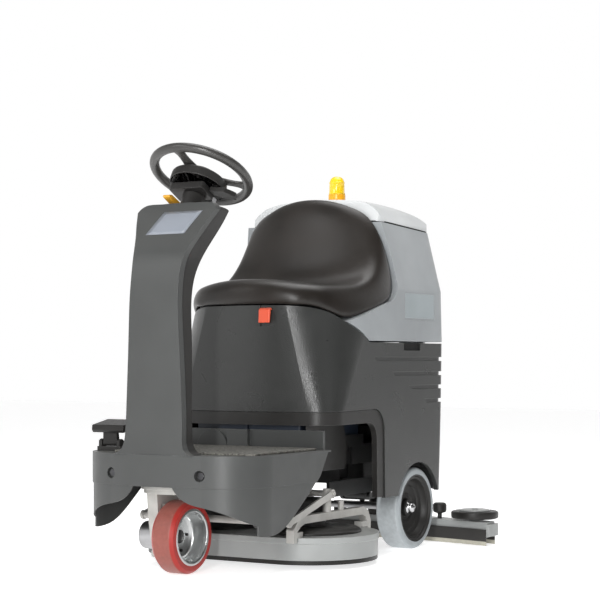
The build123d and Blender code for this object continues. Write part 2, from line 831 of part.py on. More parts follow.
with BuildPart() as recovery_tank:
    add(body_loft(high_sections, 0))
    add(prism(Plane.YZ, tank_side, 300, True), mode=Mode.INTERSECT)
    add(body_loft(high_sections, wall + 1) & prism(Plane.YZ, tank_inner, 300, True),
        mode=Mode.SUBTRACT)
    # shallow fields for a plate on each side, and the knuckles of the hinge
    for side in (-1, 1):
        with BuildSketch(Plane.YZ.offset(side * (body_side_x + 4) - 6)):
            with Locations((plate_y, plate_z)):
                RectangleRounded(*plate_field, 4)
        extrude(amount=12, mode=Mode.SUBTRACT)
        with BuildSketch(Plane.YZ.offset(side * hinge_x - 27.5)):
            with Locations((tank_hinge_y, tank_hinge_z)):
                Circle(knuckle_r)
            with Locations((tank_hinge_y - 8, 666)):
                Rectangle(14, 52)
            with Locations((tank_hinge_y, tank_hinge_z)):
                Circle(tank_pin_r + running, mode=Mode.SUBTRACT)
        extrude(amount=55)
        # ears of the lid's hinge
        with BuildSketch(Plane.YZ.offset(side * 45 - 4)):
            with BuildLine():
                Polyline((544, 952), (549.5, 984), (549.5, 1004), (562, 1004), (562, 984), (552, 952),
                         close=True)
            make_face()
        extrude(amount=8)
    with BuildSketch(Plane.YZ):
        with Locations((lid_hinge_y, lid_hinge_z)):
            Circle(lid_pin_r)
    extrude(amount=45, both=True)
keep("recovery_tank", recovery_tank)

seat_side = [[(-212, 749), (-150, 744), (-100, 727), (-57, 703)],
             [(-57, 703), (20, 724), (81, 742), (160, 763)],
             [(160, 763), (200, 780), (219, 800), (224, 832)],
             [(224, 832), (221, 870), (209, 935), (193, 1004)],
             [(193, 1004), (205, 1012), (209, 1045), (200, 1082)],
             [(200, 1082), (186, 1093), (166, 1084), (140, 1030), (116, 930), (96, 850), (60, 806)],
             [(60, 806), (0, 790), (-80, 790), (-150, 800)],
             [(-150, 800), (-192, 796), (-218, 776), (-212, 749)]]
seat_half = [(282, 690), (283, 800), (278, 840), (263, 895), (246, 940), (230, 978), (207, 1012),
             (168, 1050), (118, 1076)]
seat_top = [(118, 1076), (60, 1089), (0, 1093), (-60, 1089), (-118, 1076)]
seat_left = [(-x, z) for x, z in seat_half]
seat_front = [seat_half[:2], seat_half[1:], seat_top, seat_left[:2], seat_left[1:],
              [seat_half[0], seat_left[0]]]
seat_sections = [(690, body_side_x - 2, 158, -192, -212, (246, -128), -20, 560),
                 (1100, body_side_x - 2, 120, -186, -203, (230, -98), 30, 560)]
with BuildPart() as seat:
    add(body_loft(seat_sections, 0))
    add(prism(Plane.YZ, seat_side, 300, True), mode=Mode.INTERSECT)
    add(prism(Plane.XZ, seat_front, 700, True), mode=Mode.INTERSECT)
keep("seat", seat)

beacon_y = 351
beacon_z = 1081
lid_half = [(233, 980), (234, 1004), (222, 1032), (192, 1058), (120, 1077)]


def lid_block(inset):
    side = [[(213 + inset, 1007 - 2 * inset), (223 + inset, 1066 - inset)],
            [(223 + inset, 1066 - inset), (240, 1083 - inset), (300, 1079 - inset),
             (430, 1052 - inset), (520, 1023 - inset), (546 - inset, 1004)],
            [(546 - inset, 1004), (547 - inset, 988 - 2 * inset)],
            [(547 - inset, 988 - 2 * inset), (213 + inset, 1007 - 2 * inset)]]
    half = [(x - inset, z - inset) for x, z in lid_half]
    left = [(-x, z) for x, z in half]
    top = [half[-1], (0, 1085 - inset), left[-1]]
    front = [half[:2], half[1:], left[:2], left[1:], top, [half[0], left[0]]]
    block = prism(Plane.YZ, side, 300, True) & prism(Plane.XZ, front, 700, True)
    with BuildPart() as plan:
        with BuildSketch(Plane.XY.offset(900)):
            with Locations((0, 376)):
                RectangleRounded(2 * (236 - inset), 342 - 2 * inset, 40)
        extrude(amount=300)
    return block & plan.part


with BuildPart() as tank_lid:
    add(lid_block(0))
    add(lid_block(4), mode=Mode.SUBTRACT)
    # flat seat of the beacon
    with BuildSketch(Plane.XY.offset(1060)):
        with Locations((0, beacon_y)):
            Circle(36)
    extrude(amount=beacon_z - 1060)
    # knuckle of the lid's hinge
    with BuildSketch(Plane.YZ):
        with Locations((lid_hinge_y, lid_hinge_z)):
            Circle(lid_knuckle_r)
        with Locations((549, lid_hinge_z)):
            Rectangle(8, 8)
        with Locations((lid_hinge_y, lid_hinge_z)):
            Circle(lid_pin_r + running, mode=Mode.SUBTRACT)
    extrude(amount=40, both=True)
keep("tank_lid", tank_lid)

with BuildPart() as beacon_base:
    add(turned(Plane(origin=(0, beacon_y, beacon_z)), [(0, 0), (31, 0), (31, 8), (27, 12), (27, 30),
                                                       (0, 30)]))
keep("beacon_base", beacon_base)

with BuildPart() as beacon_lens:
    add(turned(Plane(origin=(0, beacon_y, beacon_z + 30)), [(0, 0), (26, 0), (25, 40), (21, 52),
                                                            (12, 57), (0, 58)]))
keep("beacon_lens", beacon_lens)

# suction pipe that stands in the tank, with the float's cage on top
pipe_place = (90, 440)
pipe_low = parting_z + wall
pipe_length = 280
cage_r = 32
with BuildPart() as float_cage:
    add(ring(Plane(origin=(*pipe_place, pipe_low)), 24, 20, pipe_length))
    add(ring(Plane(origin=(*pipe_place, pipe_low + pipe_length)), cage_r, 0, 4))
    with BuildSketch(Plane(origin=(*pipe_place, pipe_low + pipe_length + 4))):
        with PolarLocations(28, 8):
            Circle(3)
    extrude(amount=30)
    add(ring(Plane(origin=(*pipe_place, pipe_low + pipe_length + 34)), cage_r, 0, 3))
keep("float_cage", float_cage)

# tank hinge at the rear edge: two pins with their leaves on the housing
with BuildPart() as tank_hinge_pins:
    for side in (-1, 1):
        with BuildSketch(Plane.YZ.offset(side * hinge_x - 44)):
            with Locations((tank_hinge_y, tank_hinge_z)):
                Circle(tank_pin_r)
        extrude(amount=88)
        for end in (-36, 36):
            with BuildSketch(Plane.YZ.offset(side * hinge_x + end - 8)):
                with Locations((tank_hinge_y, tank_hinge_z)):
                    Circle(knuckle_r)
                with Locations((tank_hinge_y - 3, 612)):
                    Rectangle(8, 56)
            extrude(amount=16)
keep("tank_hinge_pins", tank_hinge_pins)

# ---------------------------------------------------------------- rear wheels
rim_r = 104
half_tyre = rear_wheel_width / 2
for name, side in (("left", 1), ("right", -1)):
    wheel_plane = Plane(origin=(side * rear_wheel_x, rear_axle_y, rear_wheel_r), x_dir=(0, side, 0),
                        z_dir=(side, 0, 0))
    with BuildPart() as rear_tyre:
        add(turned(wheel_plane, [(rim_r, -half_tyre), (rear_wheel_r - 7, -half_tyre),
                                 (rear_wheel_r, -half_tyre + 8), (rear_wheel_r, half_tyre - 8),
                                 (rear_wheel_r - 7, half_tyre), (rim_r, half_tyre)]))
    keep("rear_tyre_" + name, rear_tyre)
    with BuildPart() as rear_rim:
        add(turned(wheel_plane, [(axle_r + running, -half_tyre + 1), (30, -half_tyre + 1), (34, -12),
                                 (90, -12), (94, -half_tyre), (rim_r, -half_tyre),
                                 (rim_r, half_tyre), (rim_r - 4, half_tyre), (rim_r - 8, half_tyre - 6),
                                 (rim_r - 14, half_tyre - 8), (rim_r - 20, 12), (rim_r - 36, 6),
                                 (46, 4), (40, -2), (28, -2), (26, 12), (axle_r + running, 12)]))
    keep("rear_rim_" + name, rear_rim)

# ---------------------------------------------------------------- brush deck
skirt_low = 13
shell_low = 25
shell_high = 89
rim_low = 72
deck_height = shell_high - shell_low
post_x = 230
post_y = -110
post_pin_z = 200
post_r = 12
bar_half = 12              # half the thickness of a bridge
link_ear_z = 245
lug_z = 120


def racetrack(low, radius, height):
    with BuildPart() as block:
        with BuildSketch(Plane(origin=(0, deck_y, low))):
            SlotCenterToCenter(2 * brush_x, 2 * radius)
        extrude(amount=height)
    return block.part


with BuildPart() as deck_shell:
    add(racetrack(shell_low, deck_r - 4, deck_height))
    add(racetrack(rim_low, deck_r, shell_high - rim_low))
    add(racetrack(shell_low - 1, deck_r - 10, rim_low - shell_low + 1), mode=Mode.SUBTRACT)
    with BuildSketch(Plane(origin=(0, deck_y, rim_low - 1))):
        with Locations((-brush_x, 0), (brush_x, 0)):
            Circle(40)
    extrude(amount=deck_height, mode=Mode.SUBTRACT)
keep("deck_shell", deck_shell)

with BuildPart() as deck_skirt:
    add(racetrack(skirt_low, deck_r - 5, shell_low - skirt_low))
    add(racetrack(skirt_low, deck_r - 9, shell_low - skirt_low), mode=Mode.SUBTRACT)
keep("deck_skirt", deck_skirt)

# each motor stands on a round gearbox cover and its shaft reaches down into the brush
with BuildPart() as brush_motors:
    for side in (-1, 1):
        add(turned(Plane(origin=(side * brush_x, deck_y, shell_high)),
                   [(0, 0), (148, 0), (148, 6), (138, 13), (112, 16), (46, 16), (46, 90), (40, 96),
                    (0, 96)]))
        add(ring(Plane(origin=(side * brush_x, deck_y, 54)), motor_shaft_r, 0, 35))
keep("brush_motors", brush_motors)

bridge_side = [(-314, 76), (-296, 76), (-296, 104), (-276, 119), (-252, 126), (78, 126), (98, 119),
               (112, 98), (112, 90), (110, 76), (128, 76), (130, 106), (114, 136), (86, 148),
               (-256, 148), (-290, 138), (-314, 112)]
with BuildPart() as deck_bridges:
    for side in (-1, 1):
        with BuildSketch(Plane.YZ.offset(side * post_x - bar_half)):
            with BuildLine():
                Polyline(*bridge_side, close=True)
            make_face()
        extrude(amount=2 * bar_half)
        # outriggers that carry the bridge's feet down to the rim of the shell
        with BuildSketch(Plane.XY.offset(shell_high)):
            with Locations((side * post_x, -284), (side * post_x, 92)):
                Rectangle(2 * bar_half, 40)
        extrude(amount=16)
        with BuildSketch(Plane.XY.offset(140)):
            with Locations((side * post_x, post_y)):
                Circle(post_r)
        extrude(amount=74)
        with BuildSketch(Plane.XY.offset(140)):
            with Locations((side * post_x, -30)):
                Circle(9)
        extrude(amount=34)
        with BuildSketch(Plane.YZ.offset(side * (post_x + 13) - 13)):
            with Locations((post_y, post_pin_z)):
                Circle(post_pin_r)
        extrude(amount=26)
    # cross tube between the posts, with the ears of the upper link
    with BuildSketch(Plane.YZ):
        with Locations((post_y, post_pin_z)):
            Circle(9)
    extrude(amount=post_x, both=True)
    for x in (link_x - 13, link_x + 7):
        with BuildSketch(Plane.YZ.offset(x)):
            with Locations((post_y, 224)):
                Rectangle(20, 44)
            with Locations((post_y, link_ear_z)):
                Circle(10)
        extrude(amount=6)
    with BuildSketch(Plane.YZ.offset(link_x - 13)):
        with Locations((post_y, link_ear_z)):
            Circle(loose_pin_r)
    extrude(amount=26)
    # lug of the lift rod on the middle of the shell
    for x in (-14, 9):
        with BuildSketch(Plane.YZ.offset(x)):
            with Locations((rod_y, 104)):
                Rectangle(22, 30)
            with Locations((rod_y, lug_z)):
                Circle(11)
        extrude(amount=5)
    with BuildSketch(Plane.YZ.offset(-14)):
        with Locations((rod_y, lug_z)):
            Circle(loose_pin_r)
    extrude(amount=28)
keep("deck_bridges", deck_bridges)


# flat bar with an eye at each end, drawn in the side plane between two points
def link_bar(x, thickness, start, end, eye, start_bore, end_bore):
    run = Vector(*end) - Vector(*start)
    middle = ((start[0] + end[0]) / 2, (start[1] + end[1]) / 2)
    slope = Vector(1, 0).get_signed_angle(run, Vector(0, 0, 1))
    with BuildPart() as bar:
        with BuildSketch(Plane.YZ.offset(x)):
            with Locations(Location(middle, slope)):
                Rectangle(run.length, 1.5 * eye)
            with Locations(start, end):
                Circle(eye)
            with Locations(start):
                Circle(start_bore, mode=Mode.SUBTRACT)
            with Locations(end):
                Circle(end_bore, mode=Mode.SUBTRACT)
        extrude(amount=thickness)
    return bar.part


arm_pivot = (arm_pivot_y, arm_pivot_z)
post_pin = (post_y, post_pin_z)
with BuildPart() as deck_arms:
    with BuildSketch(Plane.YZ):
        with Locations(arm_pivot):
            Circle(arm_pin_r)
    extrude(amount=251, both=True)
    for x in (243, -251):
        add(link_bar(x, 8, arm_pivot, post_pin, 13, 6, post_pin_r + running))
keep("deck_arms", deck_arms)

with BuildPart() as level_link:
    add(link_bar(link_x - 5, 10, (arm_pivot_y, link_pivot_z), (post_y, link_ear_z), 11,
                 link_pin_r + running, loose_pin_r + 1.5))
keep("level_link", level_link)

lift_tube_r = 15
with BuildPart() as lift_tube:
    with BuildSketch(Plane.YZ):
        with Locations((rod_y, rod_top_z)):
            Circle(lift_tube_r)
    extrude(amount=12, both=True)
    add(ring(Plane(origin=(0, rod_y, 212)), lift_tube_r, lift_rod_r + running, 73))
    add(ring(Plane(origin=(0, rod_y, 284)), lift_tube_r, 0, 4))
    with BuildSketch(Plane.YZ):
        with Locations((rod_y, rod_top_z)):
            Circle(lift_pin_r + running)
    extrude(amount=20, both=True, mode=Mode.SUBTRACT)
keep("lift_tube", lift_tube)

with BuildPart() as lift_rod:
    add(ring(Plane(origin=(0, rod_y, 128)), lift_rod_r, 0, 122))
    with BuildSketch(Plane.YZ):
        with Locations((rod_y, lug_z)):
            Circle(14)
    extrude(amount=8, both=True)
    with BuildSketch(Plane.YZ):
        with Locations((rod_y, lug_z)):
            Circle(loose_pin_r + 2.5)
    extrude(amount=20, both=True, mode=Mode.SUBTRACT)
keep("lift_rod", lift_rod)

brush_r = 162
brush_hollow_r = 60
bristle_low = 12.5
bristle_top = 48
for name, side in (("left", 1), ("right", -1)):
    brush_plane = Plane(origin=(side * brush_x, deck_y, 0))
    with BuildPart() as brush:
        add(turned(brush_plane, [(motor_shaft_r + running, bristle_top), (brush_hollow_r, bristle_top),
                                 (brush_hollow_r, bristle_low), (brush_r, bristle_low),
                                 (brush_r - 4, bristle_top), (brush_r, bristle_top), (brush_r, 62),
                                 (30, 62), (30, 68), (motor_shaft_r + running, 68)]))
    keep("brush_" + name, brush)

# ---------------------------------------------------------------- squeegee
swing_y = 515
with BuildPart() as squeegee_lift_arm:
    with BuildSketch(Plane.YZ):
        with Locations((lift_hinge_y, lift_hinge_z)):
            Circle(squeegee_hinge_r)
    extrude(amount=56, both=True)
    with BuildSketch(Plane.YZ):
        with Locations((lift_hinge_y, lift_hinge_z)):
            Circle(14)
        with Locations((500, 142)):
            Rectangle(70, 20)
    extrude(amount=36, both=True)
    add(ring(Plane(origin=(0, swing_y, 104)), swing_pin_r, 0, 32))
    add(ring(Plane(origin=(0, swing_y, 98)), 14, 0, 6))
keep("squeegee_lift_arm", squeegee_lift_arm)

arc_end_x = 440
arc_end_y = 553
arc_mid_y = 614


channel_wall = 6
blade_offset = 30.5
blade_thickness = 4
blade_height = 50


# Band that follows the squeegee's bow between two offsets from its middle line.
def bow(low, height, front, back, half):
    with BuildPart() as band:
        with BuildSketch(Plane.XY.offset(low)):
            with BuildLine():
                ends = arc_end_y + (arc_mid_y - arc_end_y) * (1 - (half / arc_end_x) ** 2)
                ThreePointArc((-half, ends + front), (0, arc_mid_y + front), (half, ends + front))
                Line((half, ends + front), (half, ends + back))
                ThreePointArc((half, ends + back), (0, arc_mid_y + back), (-half, ends + back))
                Line((-half, ends + back), (-half, ends + front))
            make_face()
        extrude(amount=height)
    return band.part


blade_low = 2
with BuildPart() as squeegee_body:
    add(bow(44, 30, -30, 30, arc_end_x))
    add(bow(43, 21, -21, 21, arc_end_x - 8), mode=Mode.SUBTRACT)
    add(bow(26, 20, -30, -30 + channel_wall, arc_end_x))
    add(bow(26, 20, 30 - channel_wall, 30, arc_end_x))
    for side in (-1, 1):
        with BuildSketch(Plane.XY.offset(30)):
            with Locations((side * (arc_end_x + 5), arc_end_y + 1)):
                Rectangle(10, 70)
        extrude(amount=38)
        with BuildSketch(Plane.XY.offset(50)):
            with Locations((side * roller_x, roller_y)):
                Circle(17)
        extrude(amount=28)
        with BuildSketch(Plane.XY.offset(70)):
            with Locations((side * roller_x, roller_y)):
                Circle(roller_pin_r)
        extrude(amount=42)
keep("squeegee_body", squeegee_body)

with BuildPart() as squeegee_blades:
    add(bow(blade_low, blade_height, -blade_offset - blade_thickness, -blade_offset, arc_end_x - 1))
    add(bow(blade_low, blade_height, blade_offset, blade_offset + blade_thickness, arc_end_x - 1))
keep("squeegee_blades", squeegee_blades)

nozzle_y = 616
nozzle_low = 74
shoulder_z = 116
stub_r = 26
stub_length = 22
nozzle_bore_r = 21
with BuildPart() as squeegee_bracket:
    add(ring(Plane(origin=(0, swing_y, 105)), 24, 0, 18))
    with BuildSketch(Plane.XY.offset(105)):
        with BuildLine():
            Polyline((-24, swing_y), (24, swing_y), (150, 590), (150, 612), (-150, 612), (-150, 590),
                     close=True)
        make_face()
    extrude(amount=9)
    with BuildSketch(Plane.XY.offset(nozzle_low)):
        with Locations((-130, 598), (130, 598)):
            Rectangle(34, 26)
    extrude(amount=34)
    add(ring(Plane(origin=(0, swing_y, 100)), swing_pin_r + running, 0, 30), mode=Mode.SUBTRACT)
    # suction nozzle on the middle of the squeegee: a base, and above its shoulder the stub for the hose
    nozzle_plane = Plane(origin=(0, nozzle_y, nozzle_low))
    add(ring(nozzle_plane, stub_r + 4, 0, shoulder_z - nozzle_low))
    add(ring(nozzle_plane, stub_r, 0, shoulder_z - nozzle_low + stub_length))
    add(ring(nozzle_plane, nozzle_bore_r, 0, shoulder_z - nozzle_low + stub_length), mode=Mode.SUBTRACT)
keep("squeegee_bracket", squeegee_bracket)

knob_place = (246, 586)
with BuildPart() as squeegee_knobs:
    for side in (-1, 1):
        add(turned(Plane(origin=(side * knob_place[0], knob_place[1], nozzle_low)),
                   [(0, 0), (7, 0), (7, 16), (20, 20), (22, 26), (22, 44), (17, 50), (0, 50)]))
keep("squeegee_knobs", squeegee_knobs)

for name, side in (("left", 1), ("right", -1)):
    roller_plane = Plane(origin=(side * roller_x, roller_y, 93))
    with BuildPart() as guide_roller:
        add(turned(roller_plane, [(roller_pin_r + running, -12), (30, -12), (30, -10), (roller_r - 6, -12),
                                  (roller_r, -7), (roller_r, 7), (roller_r - 6, 12), (34, 9),
                                  (30, 14), (roller_pin_r + running, 14)]))
    keep("guide_roller_" + name, guide_roller)

# ---------------------------------------------------------------- accelerator pedal
pedal_pivot_y = -528
pedal_pivot_z = 352
pedal_ear_r = 11
pedal_half = 55
with BuildPart() as pedal_bracket:
    with BuildSketch(Plane.XY.offset(platform_z)):
        with Locations((pedal_x, pedal_bracket_y)):
            RectangleRounded(pedal_bracket_width, pedal_bracket_depth, 6)
    extrude(amount=2 * mat_thickness)
    for x in (-36, 26):
        with BuildSketch(Plane.YZ.offset(pedal_x + x)):
            with Locations((pedal_pivot_y, 348)):
                Rectangle(22, 20)
            with Locations((pedal_pivot_y, pedal_pivot_z)):
                Circle(pedal_ear_r)
        extrude(amount=10)
    with BuildSketch(Plane.YZ.offset(pedal_x - 36)):
        with Locations((pedal_pivot_y, pedal_pivot_z)):
            Circle(pedal_pin_r)
    extrude(amount=72)
keep("pedal_bracket", pedal_bracket)

with BuildPart() as accelerator_pedal:
    with BuildSketch(Plane.YZ.offset(pedal_x - 24)):
        with Locations((pedal_pivot_y, pedal_pivot_z)):
            Circle(9)
        with BuildLine():
            Polyline((-536, 354), (-536, 392), (-526, 392), (-520, 354), close=True)
        make_face()
        with Locations((pedal_pivot_y, pedal_pivot_z)):
            Circle(pedal_pin_r + running, mode=Mode.SUBTRACT)
    extrude(amount=48)
    with BuildSketch(Plane.YZ.offset(pedal_x - pedal_half)):
        with BuildLine():
            Polyline((-548, 388), (-542, 380), (-470, 404), (-474, 416), (-546, 402), close=True)
        make_face()
    extrude(amount=2 * pedal_half)
keep("accelerator_pedal", accelerator_pedal)

os.makedirs("parts", exist_ok=True)
for name, piece in pieces.items():
    export_step(piece, f"parts/{name}.step")
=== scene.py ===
import json
from math import cos, pi, radians, sin

import bmesh
import bpy
from mathutils import Matrix, Vector
from mathutils.bvhtree import BVHTree


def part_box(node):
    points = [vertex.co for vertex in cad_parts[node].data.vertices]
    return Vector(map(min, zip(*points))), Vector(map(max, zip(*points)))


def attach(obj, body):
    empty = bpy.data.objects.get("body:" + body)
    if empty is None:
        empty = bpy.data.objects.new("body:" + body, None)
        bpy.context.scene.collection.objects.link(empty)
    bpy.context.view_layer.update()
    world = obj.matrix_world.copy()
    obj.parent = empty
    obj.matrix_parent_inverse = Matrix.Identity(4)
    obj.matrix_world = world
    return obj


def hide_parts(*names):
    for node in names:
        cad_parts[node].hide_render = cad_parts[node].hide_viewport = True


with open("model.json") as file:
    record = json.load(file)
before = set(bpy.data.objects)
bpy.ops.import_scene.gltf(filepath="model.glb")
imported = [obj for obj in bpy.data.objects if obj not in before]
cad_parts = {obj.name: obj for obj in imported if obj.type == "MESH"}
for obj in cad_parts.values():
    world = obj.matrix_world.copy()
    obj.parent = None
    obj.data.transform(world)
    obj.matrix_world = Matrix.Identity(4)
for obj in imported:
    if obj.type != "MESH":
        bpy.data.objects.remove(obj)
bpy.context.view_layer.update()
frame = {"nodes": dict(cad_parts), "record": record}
print("frame loaded")

bodyOf = {node: body for body, nodes in frame["record"]["behaviour"]["bodies"].items() for node in nodes}
slotOf = {part["node"]: part["material_slot"] for part in frame["record"]["subparts"]}


# Camera, floor and lights
studio = {"cameraPlace": (2.6388, -4.2603, 0.5849), "cameraTurn": (92.0411, 0, 31.0555),
          "lens": 99.93, "floorHalf": 14, "sky": (1.0, 1.0, 1.0), "horizon": 1.0, "zenith": 0.36,
          "bandLow": 0.22, "bandTop": 0.5, "sideWall": 0.12, "aim": (0, 0, 0.55)}
scene = bpy.context.scene
cameraData = bpy.data.cameras.new("camera")
cameraData.lens = studio["lens"]
cameraData.sensor_width = 36
camera = bpy.data.objects.new("camera", cameraData)
camera.location = studio["cameraPlace"]
camera.rotation_euler = [radians(turn) for turn in studio["cameraTurn"]]
scene.collection.objects.link(camera)
scene.camera = camera
scene.view_settings.view_transform = "Standard"

world = bpy.data.worlds.new("softRoom")
world.use_nodes = True
roomNodes = world.node_tree.nodes
roomLinks = world.node_tree.links
room = roomNodes["Background"]
room.label = "white room"
room.inputs["Color"].default_value = (*studio["sky"], 1)
heading = roomNodes.new("ShaderNodeTexCoord")
heading.label = "direction in the room"
heading.location = (-800, 0)
height = roomNodes.new("ShaderNodeSeparateXYZ")
height.label = "height and side"
height.location = (-600, 0)
ceiling = roomNodes.new("ShaderNodeMapRange")
ceiling.label = "bright wall, dimmer ceiling"
ceiling.location = (-400, 0)
ceiling.inputs["From Min"].default_value = studio["bandLow"]
ceiling.inputs["From Max"].default_value = studio["bandTop"]
ceiling.inputs["To Min"].default_value = studio["horizon"]
ceiling.inputs["To Max"].default_value = studio["zenith"]
sideWall = roomNodes.new("ShaderNodeMapRange")
sideWall.label = "dark wall on the +X side"
sideWall.location = (-400, -280)
sideWall.inputs["From Min"].default_value = 0.05
sideWall.inputs["From Max"].default_value = 0.55
sideWall.inputs["To Min"].default_value = 1.0
sideWall.inputs["To Max"].default_value = studio["sideWall"]
walls = roomNodes.new("ShaderNodeMath")
walls.label = "ceiling and side wall"
walls.location = (-200, 0)
walls.operation = "MULTIPLY"
roomLinks.new(heading.outputs["Generated"], height.inputs["Vector"])
roomLinks.new(height.outputs["Z"], ceiling.inputs["Value"])
roomLinks.new(height.outputs["X"], sideWall.inputs["Value"])
roomLinks.new(ceiling.outputs["Result"], walls.inputs[0])
roomLinks.new(sideWall.outputs["Result"], walls.inputs[1])
roomLinks.new(walls.outputs["Value"], room.inputs["Strength"])
scene.world = world

lamps = [
    {"name": "keyFront", "place": (-1.6, -4.2, 3.4), "size": (2.4, 2.0), "power": 50},
    {"name": "frontStrip", "place": (1.75, -4.3, 1.5), "size": (0.2, 2.6), "power": 135},
    {"name": "sideStrip", "place": (4.2, -1.2, 1.5), "size": (0.5, 2.6), "power": 6},
    {"name": "overhead", "place": (0.3, 0.6, 4.2), "size": (3.0, 3.0), "power": 105},
    {"name": "rearFill", "place": (2.2, 4.0, 2.2), "size": (2.0, 2.0), "power": 14},
]
for lamp in lamps:
    light = bpy.data.lights.new(lamp["name"], "AREA")
    light.shape = "RECTANGLE"
    light.size = lamp["size"][0]
    light.size_y = lamp["size"][1]
    light.energy = lamp["power"]
    holder = bpy.data.objects.new(lamp["name"], light)
    holder.location = lamp["place"]
    towards = Vector(studio["aim"]) - Vector(lamp["place"])
    holder.rotation_euler = towards.to_track_quat("-Z", "Y").to_euler()
    scene.collection.objects.link(holder)
print("studio set")


# Materials
def emptyMaterial(name):
    material = bpy.data.materials.new(name)
    material.use_nodes = True
    material.node_tree.nodes.clear()
    return material, material.node_tree.nodes, material.node_tree.links


# One frame for each effect, one row for each frame
def layInFrames(nodes, groups):
    columnWidth, rowHeight = 240, 330
    for row, (label, members) in enumerate(groups.items()):
        box = nodes.new("NodeFrame")
        box.label = label
        for column, node in enumerate(members):
            node.parent = box
            node.location = (columnWidth * column, -rowHeight * row)


